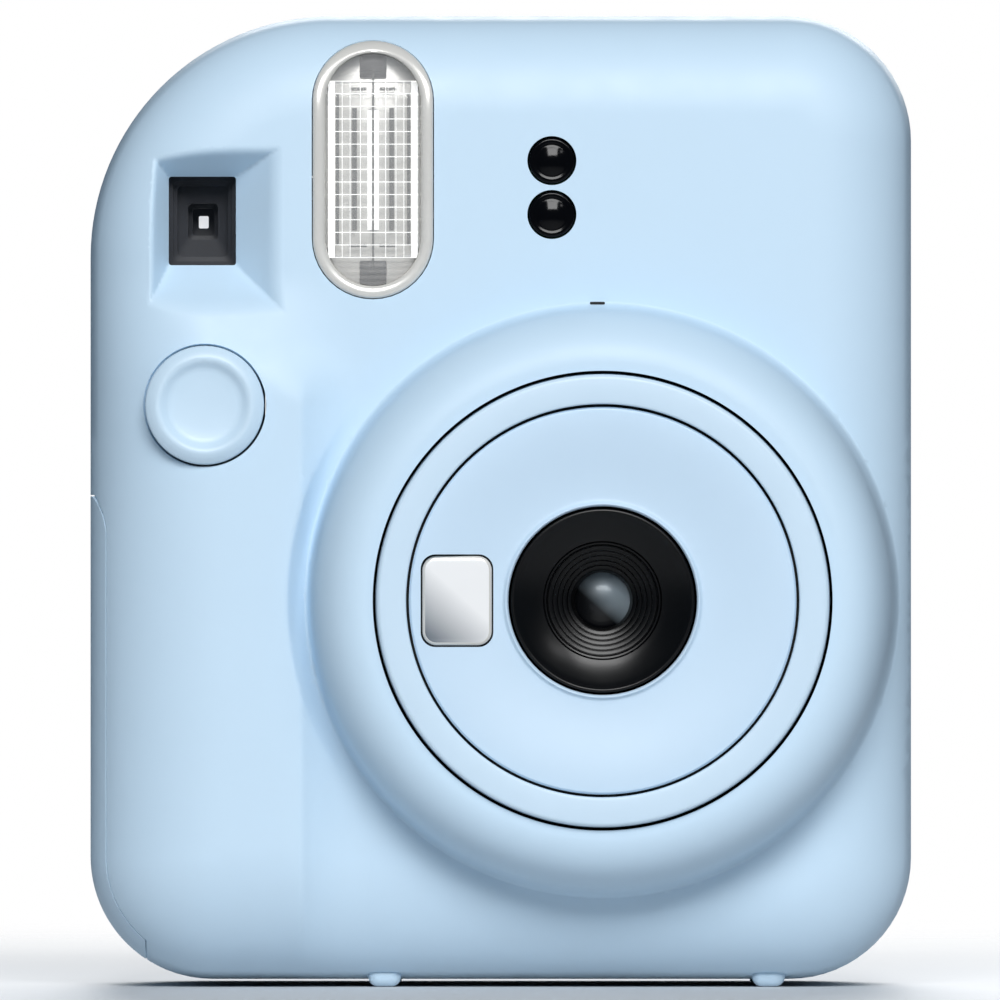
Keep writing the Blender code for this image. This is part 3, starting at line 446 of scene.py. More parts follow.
def rounded_box(middle, half, corner, count=6, along=6):
    """An upright rectangle with round corners."""
    signs = ((1, 1), (-1, 1), (-1, -1), (1, -1))
    centres = [
        (middle[0] + sign_x * (half[0] - corner), middle[1] + sign_z * (half[1] - corner))
        for sign_x, sign_z in signs
    ]
    points = []
    for quarter, centre in enumerate(centres):
        for number in range(count + 1):
            points.append(polar(centre, corner, (quarter + number / count) * math.pi / 2))
        end = points[-1]
        goal = polar(centres[(quarter + 1) % 4], corner, (quarter + 1) * math.pi / 2)
        points += [between(end, goal, number / along) for number in range(1, along)]
    return points


def triangulated(outer, holes, extras, apart):
    """Points and triangles of a flat region, from its outline, its holes and points inside it."""
    points = []
    edges = []
    for loop in [outer, *holes]:
        start, count = len(points), len(loop)
        edges += [(start + number, start + (number + 1) % count) for number in range(count)]
        points += loop
    tree = kdtree.KDTree(len(points))
    for number, (x, z) in enumerate(points):
        tree.insert((x, z, 0), number)
    tree.balance()
    points = points + [point for point in extras if tree.find((*point, 0))[2] > apart]
    result = geometry.delaunay_2d_cdt([Vector(point) for point in points], edges, [], 0, 1e-5)
    found = np.array([tuple(point) for point in result[0]])
    corners = np.array([face[:3] for face in result[2]])
    middle = found[corners].mean(axis=1)
    keep = inside_loop(middle, outer)
    for hole in holes:
        keep &= ~inside_loop(middle, hole)
    corners = corners[keep]
    used = np.unique(corners)
    renumber = np.full(len(found), -1)
    renumber[used] = np.arange(len(used))
    return found[used], renumber[corners]


def inside_loop(points, loop):
    """Which points lie inside a closed outline, by counting crossings."""
    x, z = points[:, 0], points[:, 1]
    inside = np.zeros(len(points), bool)
    for (x1, z1), (x2, z2) in zip(loop, loop[1:] + loop[:1]):
        if z1 == z2:
            continue
        crosses = (z1 > z) != (z2 > z)
        inside ^= crosses & (x < (x2 - x1) * (z - z1) / (z2 - z1) + x1)
    return inside


def placed(name, data):
    obj = bpy.data.objects.new(name, data)
    bpy.context.scene.collection.objects.link(obj)
    return obj


def new_object(name, points, faces, materials, indices=None, smooth=True):
    """A mesh object from points in millimetres."""
    mesh = bpy.data.meshes.new(name)
    metres = [tuple(point) for point in np.asarray(points) * MM]
    mesh.from_pydata(metres, [], [tuple(face) for face in faces])
    for key in materials:
        mesh.materials.append(MATERIALS[key])
    if indices is not None:
        mesh.polygons.foreach_set("material_index", indices)
    mesh.polygons.foreach_set("use_smooth", [smooth] * len(mesh.polygons))
    mesh.update()
    return placed(name, mesh)


def walled(faces, count):
    """A closed wall's polygons: a sheet, its copy behind it and their rim; and the rim's edges."""
    directed = np.concatenate([faces[:, [0, 1]], faces[:, [1, 2]], faces[:, [2, 0]]])
    keys = {(int(a), int(b)) for a, b in directed}
    rim = [(a, b) for a, b in keys if (b, a) not in keys]
    polygons = [tuple(int(value) for value in face) for face in faces]
    polygons += [tuple(int(value) + count for value in face[::-1]) for face in faces]
    polygons += [(b, a, a + count, b + count) for a, b in rim]
    return polygons, rim


def shell_object(name, points, faces, normals, thickness, outside, inside="inside"):
    """A thin wall, with the outer surface's own exact normals."""
    corner = points[faces]
    across = np.cross(corner[:, 1] - corner[:, 0], corner[:, 2] - corner[:, 0])
    facing = np.einsum("ij,ij->i", across, normals[faces[:, 0]])
    faces = np.where(facing[:, None] < 0, faces[:, ::-1], faces)
    count = len(points)
    every = np.concatenate([points, points - normals * thickness])
    polygons, rim = walled(faces, count)
    indices = [0] * len(faces) + [1] * len(faces) + [0] * len(rim)
    made = new_object(name, every, polygons, (outside, inside), indices)
    custom = [normals[value] for face in polygons[: len(faces)] for value in face]
    inner = polygons[len(faces) : 2 * len(faces)]
    custom += [-normals[value - count] for face in inner for value in face]
    for a, b in rim:
        side = np.cross(every[a] - every[b], every[a + count] - every[b])
        custom += [side / (np.linalg.norm(side) or 1)] * 4
    made.data.normals_split_custom_set([tuple(value) for value in custom])
    return made


def turned(name, profile, middle, keys, steps=128, key_of=None, sharp=32):
    """A turned piece about the forward axis, from (radius, forward) points."""
    rings = [
        [(x, -forward, z) for x, z in circle(middle, radius, steps)]
        for radius, forward in profile
    ]
    return ringed(name, rings, keys, key_of, sharp)


def ringed(name, rings, keys, key_of=None, sharp=35, closed=False):
    """A skin over rings of equal length, with a fan over the last one if it is closed."""
    count = len(rings[0])
    points = [point for ring in rings for point in ring]
    faces, indices = [], []
    for row in range(len(rings) - 1):
        first, above = row * count, (row + 1) * count
        for number in range(count):
            after = (number + 1) % count
            faces.append((first + number, first + after, above + after, above + number))
            indices.append(key_of(row) if key_of else 0)
    if closed:
        last = (len(rings) - 1) * count
        points.append(tuple(np.mean(np.array(rings[-1]), axis=0)))
        for number in range(count):
            faces.append((last + number, last + (number + 1) % count, len(points) - 1))
            indices.append(key_of(len(rings) - 1) if key_of else 0)
    made = new_object(name, points, faces, keys, indices)
    clean(made, sharp)
    return made


def clean(obj, sharp):
    """Merges doubled points, turns faces outward and keeps edges over this angle sharp."""
    work = bmesh.new()
    work.from_mesh(obj.data)
    bmesh.ops.remove_doubles(work, verts=work.verts, dist=0.004 * MM)
    bmesh.ops.dissolve_degenerate(work, edges=work.edges, dist=0.002 * MM)
    bmesh.ops.recalc_face_normals(work, faces=work.faces)
    work.to_mesh(obj.data)
    work.free()
    obj.data.set_sharp_from_angle(angle=math.radians(sharp))


def add(obj, body, slot, *nodes):
    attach(obj, body)
    if nodes:
        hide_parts(*nodes)


def arc(middle, radius, first, last, steps):
    """Profile points on an arc, angles in degrees from the outward radius towards forward."""
    return [
        polar(middle, radius, math.radians(first + (last - first) * number / steps))
        for number in range(steps + 1)
    ]


# The front cover


def face_extras():
    """Points where the face bends, each with how close it may come to another."""
    extras = []
    steps = 18
    for number in range(1, steps + 1):
        inset = FACE_EDGE * (1 - math.cos(number / steps * math.pi / 2))
        extras += [(x, z, 0.9) for x, z in outline_points(inset)]
    for number in range(10, 20):
        inset = (FACE_EDGE + GRIP_EDGE) * (1 - math.cos(number / 20 * math.pi / 2))
        extras += [(x, z, 1.1) for x, z in outline_points(inset) if x < -20]
    radii = [BORE + 0.12, BORE + 0.3, BORE + 0.6, DOME_FLAT]
    radii += [30.6, 31.3, 32, 32.7, 33.3, 33.9, 34.4, 34.8, 35.2, 35.5, 35.8, 36.0, 36.2, 36.35]
    radii += [36.45, 36.55, 36.65, 36.75, 36.85, 36.95, 37.08, 37.25, 37.45, 37.7, 38.1, 38.6]
    radii += [39.1, 39.4, 39.6, 39.75, 39.95, 40.3, 41.2, 42.2, 43.4]
    for radius in radii:
        extras += [(x, z, 0.08) for x, z in circle(LENS, radius, 240)]
    for shift in (0, -0.18, 0.18, -0.45, 0.45, -0.9, 0.9, 1.8, 3):
        extras += [(CREASE_X + shift, 2 + number * 0.9, 0.3) for number in range(90)]
    for radius in (8.0, 8.3, 8.8, 9.6):
        extras += [(x, z, 0.4) for x, z in circle(BUTTON, radius, 64)]
    for grow in (0.45, 0.8, 1.5):
        extras += [(x, z, 0.5) for x, z in stadium(FLASH, FLASH_HALF, grow)]
    width = FUNNEL_HIGH[0] - FUNNEL_LOW[0] + 4
    height = FUNNEL_HIGH[1] - FUNNEL_LOW[1] + 4
    for column in range(int(width / 0.34) + 1):
        for row in range(int(height / 0.34) + 1):
            extras.append((FUNNEL_LOW[0] - 2 + column * 0.34, FUNNEL_LOW[1] - 2 + row * 0.34, 0.3))
    for row in range(76):
        for column in range(66):
            extras.append((-51.5 + column * 1.6 + (row % 2) * 0.8, 2 + row * 1.6, 1.2))
    return extras


def spaced(extras, fixed):
    """Drops each point that comes too near one already kept, by a coarse grid of buckets."""
    cell = 1.3
    buckets = {}
    for x, z in fixed:
        buckets.setdefault((int(x // cell), int(z // cell)), []).append((x, z))
    kept = []
    for x, z, apart in extras:
        place = (int(x // cell), int(z // cell))
        around = [
            other
            for over in (-1, 0, 1)
            for up in (-1, 0, 1)
            for other in buckets.get((place[0] + over, place[1] + up), ())
        ]
        if all((other[0] - x) ** 2 + (other[1] - z) ** 2 >= apart * apart for other in around):
            kept.append((x, z))
            buckets.setdefault(place, []).append((x, z))
    return kept


def in_cover_region(y, z, gap):
    """Whether a place lies in the battery cover's rounded rectangle, grown by a gap."""
    low_y, high_y, top = -COVER_FORWARD - gap, -COVER_BACK + gap, COVER_TOP + gap
    corner = COVER_CORNER
    inside = (y > low_y) & (y < high_y) & (z < top)
    for middle_y, sign in ((low_y + corner, -1), (high_y - corner, 1)):
        outside = ((y - middle_y) * sign > 0) & (z > top - corner)
        outside &= np.hypot(y - middle_y, z - top + corner) > corner
        inside &= ~outside
    return inside


def trimmed(points, faces, gap, keep_inside):
    """Cuts a sheet along the battery cover's edges, and keeps one side of them."""
    work = bmesh.new()
    verts = [work.verts.new(point) for point in points]
    for face in faces:
        work.faces.new([verts[int(value)] for value in face])
    planes = [((0, -COVER_FORWARD - gap, 0), (0, 1, 0)), ((0, -COVER_BACK + gap, 0), (0, 1, 0))]
    planes += [((0, 0, COVER_TOP + gap), (0, 0, 1)), ((COVER_X + gap, 0, 0), (1, 0, 0))]
    for sign, edge_y in ((-1, -COVER_FORWARD - gap), (1, -COVER_BACK + gap)):
        middle = Vector((0, edge_y - sign * COVER_CORNER, COVER_TOP + gap - COVER_CORNER))
        for number in range(8):
            angle = (number + 0.5) / 8 * math.pi / 2
            out = Vector((0, sign * math.cos(angle), math.sin(angle)))
            planes.append((middle + out * COVER_CORNER * math.cos(math.pi / 32), out))
    for number, (place, out) in enumerate(planes):
        near = [face for face in work.faces if touches(face, number)]
        geom = list({item for face in near for item in (*face.verts, *face.edges, face)})
        bmesh.ops.bisect_plane(work, geom=geom, plane_co=place, plane_no=out, dist=1e-4)
    bmesh.ops.triangulate(work, faces=work.faces[:])
    middle = np.array([tuple(face.calc_center_median()) for face in work.faces])
    inside = in_cover_region(middle[:, 1], middle[:, 2], gap) & (middle[:, 0] < COVER_X + gap)
    doomed = [face for face, within in zip(work.faces, inside) if within != keep_inside]
    bmesh.ops.delete(work, geom=doomed, context="FACES")
    work.verts.index_update()
    result = np.array([tuple(vert.co) for vert in work.verts])
    triangles = np.array([[vert.index for vert in face.verts] for face in work.faces])
    work.free()
    return result, triangles


def touches(face, number):
    """Whether a cutting plane's stretch of the edge can meet this face."""
    middle = face.calc_center_median()
    if middle.x > COVER_X + 4:
        return False
    if number < 3:
        return True
    if number == 3:
        return middle.z < 10
    near_front = number < 12
    edge = -COVER_FORWARD if near_front else -COVER_BACK
    return abs(middle.y - edge) < COVER_CORNER + 2 and abs(middle.z - COVER_TOP) < COVER_CORNER + 2


def skin_normals(points):
    """Exact normals of the front half: the height field's, and the outline's on the side."""
    points = np.asarray(points)
    x, y, z = points.T
    inset, out_x, out_z = inset_from_outline(x, z)
    normals = face_normals(x, z)
    side = (y > -SIDE_FORWARD - 0.05) | (inset < 0.02)
    normals[side] = np.stack([out_x[side], np.zeros(side.sum()), out_z[side]], axis=1)
    return normals


def front_cover():
    outer = outline_points(0)
    sensor_holes = [circle((SENSOR_X, z), SENSOR_HOLE, 48) for z in SENSOR_ZS]
    holes = [
        circle(LENS, BORE, 200),
        circle(BUTTON, BUTTON_HOLE, 80),
        stadium(FLASH, FLASH_HALF, 0.12),
        rounded_box(PANE, PANE_HALF, 0.35, 4, 8),
        *sensor_holes,
    ]
    fixed = outer + [point for hole in holes for point in hole]
    extras = spaced(face_extras(), fixed)
    flat = np.array(extras)
    inset, _, _ = inset_from_outline(flat[:, 0], flat[:, 1])
    inner = np.hypot(flat[:, 0] - LENS_X, flat[:, 1] - LENS_Z) > BORE + 0.05
    extras = [point for point, within in zip(extras, (inset > 0.05) & inner) if within]
    points, faces = triangulated(outer, holes, extras, 0.05)
    height = face_height(points[:, 0], points[:, 1])
    solid = np.stack([points[:, 0], -height, points[:, 1]], axis=1)
    solid, faces = with_side_wall(solid, faces, outer)
    solid, faces = trimmed(solid, faces, GAP, False)
    made = shell_object("front_cover_shell", solid, faces, skin_normals(solid), SKIN, "body")
    add(made, "camera", "body_blue", "front_cover")


def with_side_wall(points, faces, outer):
    """Adds the straight side wall between the rounded front and the seam."""
    inset, _, _ = inset_from_outline(points[:, 0], points[:, 2])
    places = [(round(x, 3), round(z, 3)) for x, z in points[:, [0, 2]]]
    lookup = {place: number for number, place in enumerate(places) if inset[number] < 0.01}
    wanted = [(round(x, 3), round(z, 3)) for x, z in outer]
    loop = [lookup[place] for place in wanted if place in lookup]
    rows, extra = [loop], []
    for depth in np.linspace(-SIDE_FORWARD, -SEAM_FORWARD, SIDE_ROWS + 1)[1:]:
        start = len(points) + len(extra)
        rows.append(list(range(start, start + len(loop))))
        extra += [(points[number][0], depth, points[number][2]) for number in loop]
    walls = []
    for row, following in zip(rows, rows[1:]):
        for number in range(len(loop)):
            after = (number + 1) % len(loop)
            walls.append((row[number], row[after], following[after]))
            walls.append((row[number], following[after], following[number]))
    return np.concatenate([points, np.array(extra)]), np.concatenate([faces, np.array(walls)])


def front_feet():
    """Two soft bumps that carry the front of the camera."""
    for number, x in enumerate((-14.7, 33.9)):
        low, high = (x - 2.1, -11.6, 0.02), (x + 2.1, -3.1, 2.7)
        foot = soft_block(f"front_foot_{number + 1}", low, high, 1.3, "body", 8)
        add(foot, "camera", "body_blue")


def soft_block(name, low, high, radius, key, segments=5):
    """A block with rounded edges."""
    work = bmesh.new()
    bmesh.ops.create_cube(work, size=1)
    size = (Vector(high) - Vector(low)) * MM
    bmesh.ops.scale(work, vec=size, verts=work.verts)
    bmesh.ops.translate(work, vec=(Vector(high) + Vector(low)) / 2 * MM, verts=work.verts)
    bmesh.ops.bevel(
        work, geom=work.edges[:], offset=radius * MM, segments=segments, profile=0.5, affect="EDGES"
    )
    mesh = bpy.data.meshes.new(name)
    work.to_mesh(mesh)
    work.free()
    mesh.materials.append(MATERIALS[key])
    mesh.polygons.foreach_set("use_smooth", [True] * len(mesh.polygons))
    mesh.set_sharp_from_angle(angle=math.radians(40))
    return placed(name, mesh)


# The battery cover


def battery_cover():
    """The cover follows the outline from its top edge down the left side and under the corner."""
    outline = [(x, z) for x, z in outline_points(0, 1.0) if x < COVER_X + 3 and z < COVER_TOP + 4]
    grip = SIDE_FORWARD + FACE_RISE + GRIP_RISE
    rows = []
    for forward in (16.0, 15.4, 14.7, 13.8, 12.8, 11.6, 10.4, 9.4, 8.6, 8.15, 8.0):
        share = (forward - SIDE_FORWARD) / (grip - SIDE_FORWARD)
        rows.append(((FACE_EDGE + GRIP_EDGE) * (1 - math.sqrt(1 - share * share)), -forward))
    rows += [(0.0, depth) for depth in (-6, -3, 0, 4, 8, 12, 16, 19, 21, 22.5)]
    points, faces = [], []
    for inset, depth in rows:
        for x, z in outline:
            _, out_x, out_z = inset_from_outline(np.array([x]), np.array([z]))
            points.append((x - out_x[0] * inset, depth, z - out_z[0] * inset))
    width = len(outline)
    for row in range(len(rows) - 1):
        for number in range(width - 1):
            first = row * width + number
            faces.append((first, first + 1, first + width + 1))
            faces.append((first, first + width + 1, first + width))
    points, faces = trimmed(np.array(points), np.array(faces), -GAP, True)
    normals = skin_normals(points)
    made = shell_object("battery_cover_shell", points, faces, normals, SKIN, "body")
    add(made, "battery_door", "body_blue", "battery_cover")


# The lens


def lens_ring():
    """The turning ring, with a soft outer edge and a thin groove on each side."""
    profile = [(24.7, 30.4), (28.45, 30.4), (28.45, 32.3)]
    profile += arc((27.85, 32.6), 0.6, 0, 90, 6)
    profile += [(26.6, 33.22), (25.4, 33.2)]
    profile += arc((25.0, 32.85), 0.3, 90, 180, 5)
    profile += [(24.7, 32.5), (24.7, 30.4)]
    made = turned("lens_ring_visual", profile, LENS, ("ring",), 192)
    add(made, "ring", "trim_blue", "lens_ring")


def panel_height(x, z):
    """The panel's shallow cone, with a thin raised lip round the opening and a soft outer edge."""
    radius = np.hypot(x - LENS_X, z - LENS_Z)
    cone = 31.3 + 1.1 * smooth_step((radius - 12.4) / 11.0)
    lip = 0.42 * np.exp(-(((radius - 12.15) / 0.27) ** 2))
    outer = 0.35 * np.clip((radius - 24.0) / 0.35, 0, 1) ** 2
    inner = 0.3 * np.clip((12.0 - radius) / 0.2, 0, 1) ** 2
    return cone + lip - outer - inner


def lens_panel():
    outer = circle(LENS, 24.35, 192)
    holes = [
        circle(LENS, 11.85, 128),
        mirror_outline(0.22, MIRROR_CORNER + 0.1),
    ]
    extras = []
    radii = [11.92, 12.0, 12.08, 12.16, 12.25, 12.35, 12.5, 12.7, 13.1]
    radii += [14, 15.4, 17, 18.6, 20.2, 21.8, 22.9]
    for radius in radii:
        extras += [(x, z, 0.06) for x, z in circle(LENS, radius, 128)]
    for radius in (23.6, 24.0, 24.12, 24.24):
        extras += [(x, z, 0.06) for x, z in circle(LENS, radius, 192)]
    fixed = outer + [point for hole in holes for point in hole]
    points, faces = triangulated(outer, holes, spaced(extras, fixed), 0.02)
    height = panel_height(points[:, 0], points[:, 1])
    solid = np.stack([points[:, 0], -height, points[:, 1]], axis=1)
    normals = face_normals(points[:, 0], points[:, 1], panel_height, 0.02)
    made = shell_object("lens_panel", solid, faces, normals, 1.2, "panel", "black")
    add(made, "barrel", "body_blue", "lens_barrel")


def lens_tube():
    """The barrel behind the ring, which shows when the lens stands out."""
    profile = [(24.2, 30.9), (24.2, 29.9), (28.3, 29.9)]
    profile += arc((28.3, 29.6), 0.3, 90, 0, 4)
    profile += [(28.6, 20), (28.6, 8.2), (27.0, 8.2), (27.0, 29.0), (22.0, 29.0), (22.0, 30.2)]
    keys = ("panel", "black")
    made = turned(
        "lens_barrel_tube", profile, LENS, keys, 160, lambda row: int(row < 2 or row > 7)
    )
    add(made, "barrel", "body_blue")


def mirror_outline(grow, corner):
    return rounded_box(MIRROR, (MIRROR_HALF[0] + grow, MIRROR_HALF[1] + grow), corner, 8, 8)


def mirror_plate():
    """A domed mirror plate in its pocket, with a thin bright bevel."""
    steps = ((0.0, 31.0), (0.0, 31.55), (0.12, 31.72), (0.34, 31.8), (0.8, 31.84))
    steps += ((1.6, 31.87), (2.6, 31.89), (3.6, 31.9))
    rings = []
    for inset, forward in steps:
        outline = mirror_outline(-inset, max(MIRROR_CORNER - inset, 0.25))
        rings.append([(x, -forward, z) for x, z in outline])
    made = skinned("mirror_plate", rings, ("mirror", "pearl"), lambda row: int(row < 3))
    add(made, "barrel", "mirror", "selfie_mirror")
    rings = [[(x, -30.7, z) for x, z in mirror_outline(0.2, MIRROR_CORNER)]]
    rings.append([(x, -30.75, z) for x, z in mirror_outline(-0.8, 0.9)])
    add(skinned("mirror_bed", rings, ("black",)), "barrel", "black_plastic")


def skinned(name, rings, keys, key_of=None):
    """A skin over rings, closed at its last ring."""
    return ringed(name, rings, keys, key_of, 35, True)


def lens_hood():
    """The black funnel: a rolled mouth, a smooth cone, a step and five ribs down to the glass."""
    profile = [(11.35, 27.2), (11.6, 27.2), (11.6, 31.2)]
    profile += arc((11.3, 31.15), 0.3, 0, 130, 6)
    profile += [(10.8, 31.05), (10.2, 30.66), (9.6, 30.3), (9.0, 29.98)]
    profile += [(8.4, 29.7), (7.9, 29.5), (7.5, 29.38)]
    profile += [(7.38, 29.2), (7.28, 28.9), (7.1, 28.85), (6.95, 28.6)]
    radius, forward = 6.95, 28.6
    for _ in range(5):
        profile += [(radius - 0.04, forward - 1.1), (radius - 0.14, forward - 1.55)]
        profile += [(radius - 0.5, forward - 1.62), (radius - 0.62, forward - 1.7)]
        radius, forward = radius - 0.62, forward - 1.75
    profile += [(3.6, forward - 0.5), (3.5, 18.9), (4.1, 18.9), (4.2, 19.4), (6.5, 20.6)]
    made = turned("lens_hood_visual", profile, LENS, ("lens_black",), 128, None, 24)
    add(made, "barrel", "black_plastic", "lens_hood")


def front_glass():
    """The front element, a domed disc whose colour carries a painted reflection that brightens to
    the upper right.
    """
    sphere = 7.6
    profile = [(3.8, 17.4), (3.8, 18.25)]
    crown = 19.25
    for number in range(10):
        radius = 3.72 * (1 - number / 9)
        drop = sphere - math.sqrt(sphere * sphere - radius * radius)
        profile.append((max(radius, 0.0), crown - drop))
    made = turned("front_glass", profile, LENS, ("front_glass",), 96, None, 50)
    add(made, "barrel", "optical_glass", "front_lens")


def index_mark():
    """The small dark mark on the dome's upper edge."""
    x, z = 12.2, 86.5
    rings = []
    for half_x, half_z, lift in ((0.95, 0.17, -0.3), (0.95, 0.17, 0.08), (0.85, 0.1, 0.14)):
        ring = []
        for px, pz in rounded_box((x, z), (half_x, half_z), half_z * 0.8, 3, 5):
            ring.append((px, -float(face_height(px, pz)) - lift, pz))
        rings.append(ring)
    add(skinned("index_mark", rings, ("black",)), "camera", "black_plastic")


# The button


def shutter_button():
    profile = [(7.5, 17.1), (7.5, 22.2)]
    profile += arc((7.0, 22.3), 0.5, 0, 60, 5)
    profile += [(6.9, 23.0), (6.3, 23.35), (5.95, 23.42), (5.6, 23.35), (5.25, 23.1), (4.9, 22.8)]
    profile += [(4.55, 22.62), (4.1, 22.52), (3.0, 22.42), (1.5, 22.36), (0, 22.34)]
    made = turned("shutter_button_visual", profile, BUTTON, ("button",), 112, None, 60)
    add(made, "button", "body_blue", "shutter_button")


# The flash


def flash_rim():
    """A pearl frame that follows the casing's curve and stands a little proud of it."""
    sections = ((0.0, -3.0), (0.0, 0.1), (-0.1, 0.3), (-0.3, 0.42), (-0.62, 0.46), (-1.15, 0.4))
    sections += ((-1.42, 0.25), (-1.55, 0.0), (-1.6, -2.2))
    rings = []
    for grow, lift in sections:
        ring = []
        for x, z in stadium(FLASH, FLASH_HALF, grow, 28):
            base = float(face_height(x, z))
            ring.append((x, -base - lift, z))
        rings.append(ring)
    add(ringed("flash_rim_visual", rings, ("pearl",), None, 60), "camera", "pearl", "flash_rim")


def window_height(x, z):
    """Forward height of the window's front, which follows the casing and carries its prisms."""
    base = face_height(x, z) + 0.02
    ends = (z > FLASH_CLEAR_Z[1]) | (z < FLASH_CLEAR_Z[0])
    tooth = np.abs(((z - FLASH_CLEAR_Z[0]) / 0.78) % 1.0 - 0.5) * 2
    return base - np.where(ends, 0.34 * tooth, 0.0)


def flash_window():
    """The clear window: a smooth middle and fine level prisms moulded across its round ends."""
    outer = stadium(FLASH, FLASH_HALF, -1.66, 24)
    extras = []
    z = FLASH[1] - FLASH_HALF[1] + 1.7
    while z < FLASH[1] + FLASH_HALF[1] - 1.7:
        ends = z > FLASH_CLEAR_Z[1] or z < FLASH_CLEAR_Z[0]
        extras += [(FLASH[0] - 6.0 + column * 0.8, z, 0.12) for column in range(16)]
        z += 0.195 if ends else 1.2
    extras = spaced(extras, outer)
    within = inside_loop(np.array(extras), outer)
    extras = [point for point, inside in zip(extras, within) if inside]
    points, faces = triangulated(outer, [], extras, 0.02)
    height = window_height(points[:, 0], points[:, 1])
    front = np.stack([points[:, 0], -height, points[:, 1]], axis=1)
    back = np.stack([points[:, 0], np.full(len(front), -WINDOW_BACK), points[:, 1]], axis=1)
    polygons, _ = walled(faces, len(front))
    made = new_object("flash_window_visual", np.concatenate([front, back]), polygons, ("clear",))
    clean(made, 25)
    add(made, "camera", "clear_window", "flash_window")


def flash_reflector():
    """A bright trough of narrow flat facets, with end plates, behind the window."""
    left, right = FLASH[0] - 5.9, FLASH[0] + 5.9
    low, high = FLASH_CLEAR_Z[0] + 0.1, FLASH_CLEAR_Z[1] - 0.1
    columns = 18
    rings = []
    levels = ((low, 0.0), (low + 1.2, 0.55), (low + 2.6, 1.0))
    levels += ((high - 2.6, 1.0), (high - 1.2, 0.55), (high, 0.0))
    for z, squeeze in levels:
        ring = []
        for number in range(columns + 1):
            share = number / columns * 2 - 1
            depth = 3.6 * (1 - abs(share) ** 2.2) * squeeze
            ripple = 0.22 * (number % 2) * squeeze
            ring.append((FLASH[0] + share * (right - left) / 2, -14.2 + depth + ripple, z))
        rings.append(ring)
    width = columns + 1
    points = [point for ring in rings for point in ring]
    faces = []
    for row in range(len(rings) - 1):
        for number in range(columns):
            first = row * width + number
            faces.append((first, first + 1, first + width + 1, first + width))
    made = new_object("flash_reflector_visual", points, faces, ("chrome",), None, False)
    add(made, "camera", "bright_metal", "flash_reflector")


def flash_bed():
    """The white moulding behind the round ends of the window and the dark trigger marks on it."""
    rings = []
    for grow, forward in ((-1.0, 13.9), (-1.2, 14.0)):
        rings.append([(x, -forward, z) for x, z in stadium(FLASH, FLASH_HALF, grow, 20)])
    add(skinned("flash_bed", rings, ("pearl",)), "camera", "pearl")
    for name, z in (("upper", FLASH_CLEAR_Z[1] + 1.9), ("lower", FLASH_CLEAR_Z[0] - 1.9)):
        low, high = (FLASH[0] - 1.7, -14.5, z - 1.5), (FLASH[0] + 1.7, -13.95, z + 1.5)
        mark = soft_block(f"flash_mark_{name}", low, high, 0.2, "black", 2)
        add(mark, "camera", "black_plastic")


def grid_bars():
    """The grid's bars, each its middle's place across, half width, bottom, top and material."""
    low, high = FLASH_CLEAR_Z
    bars = []
    for number in range(GRID_ROWS + 1):
        z = low + (high - low) * number / GRID_ROWS
        bars.append((0.0, 5.7, z - 0.05, z + 0.05, "tube"))
    for shift in (-3.9, -2.9, -1.6, 1.6, 2.9, 3.9):
        bars.append((shift, 0.04, low, high, "tube"))
    for side in (-1, 1):
        bars.append((side * 5.25, 0.42, low, high, "tube"))
        # Grey bars of painted shade for the reflector's dark streaks.
        bars.append((side * 4.5, 0.2, low + 1.5, high - 1.5, "streak"))
        bars.append((side * 2.35, 0.3, low + 3.4, high - 3.4, "streak"))
        for z in (low + 0.7, high - 0.7):
            bars.append((side * 5.5, 0.3, z - 0.6, z + 0.6, "black"))
        for z in (low + 1.5, high - 1.0):
            bars.append((side * 1.9, 1.1, z - 0.2, z + 0.2, "streak"))
    bars.append((0.0, 0.13, low - 1.8, high + 1.8, "streak"))
    return bars


def flash_grid():
    """Moulded lines inside the window, with a painted glow on the white ones, its centre seam, side
    strips and corner marks, and grey bars of painted shade for the reflector's dark streaks.
    """
    points, faces, indices = [], [], []
    depths = {"tube": -15.55, "streak": -15.4, "black": -15.45}
    keys = list(depths)
    sides = ((0, 1, 2, 3), (7, 6, 5, 4), (0, 4, 5, 1), (1, 5, 6, 2), (2, 6, 7, 3), (3, 7, 4, 0))
    for shift, half, bottom, top, key in grid_bars():
        left, right = FLASH[0] + shift - half, FLASH[0] + shift + half
        start = len(points)
        for y in (depths[key], depths[key] + 0.12):
            points += [(left, y, bottom), (right, y, bottom), (right, y, top), (left, y, top)]
        faces += [tuple(start + corner for corner in side) for side in sides]
        indices += [keys.index(key)] * len(sides)
    add(new_object("flash_grid", points, faces, keys, indices, False), "camera", "clear_window")


def flash_tube():
    """The discharge tube, with its metal caps at both ends."""
    rows = ((93.6, 0.5), (94.0, 0.95), (95.6, 0.95), (95.8, 1.25))
    rows += ((111.0, 1.25), (111.2, 0.95), (112.6, 0.95), (113.0, 0.5))
    rings = [[(x, y, z) for x, y in circle((FLASH[0], -13.0), radius, 24)] for z, radius in rows]
    # The tube's glass carries a painted glow.
    made = ringed("flash_tube_visual", rings, ("tube", "steel"), lambda row: int(row != 3), 40)
    add(made, "camera", "optical_glass", "flash_tube")


# Windows


def sensors():
    """Two domed smoked lenses, each with a thin inner shoulder."""
    for name, z in zip(("exposure_sensor_window", "flash_sensor_window"), SENSOR_ZS):
        profile = [(2.85, 16.1), (2.85, 18.75)]
        profile += arc((2.6, 18.75), 0.25, 0, 90, 3)
        profile += [(2.3, 19.0), (2.1, 18.9), (1.95, 18.92)]
        for number in range(8):
            radius = 1.9 * (1 - number / 7)
            profile.append((radius, 19.33 - radius * radius * 0.11))
        made = turned(f"{name}_visual", profile, (SENSOR_X, z), ("gloss_black",), 64, None, 40)
        add(made, "camera", "dark_window", name)


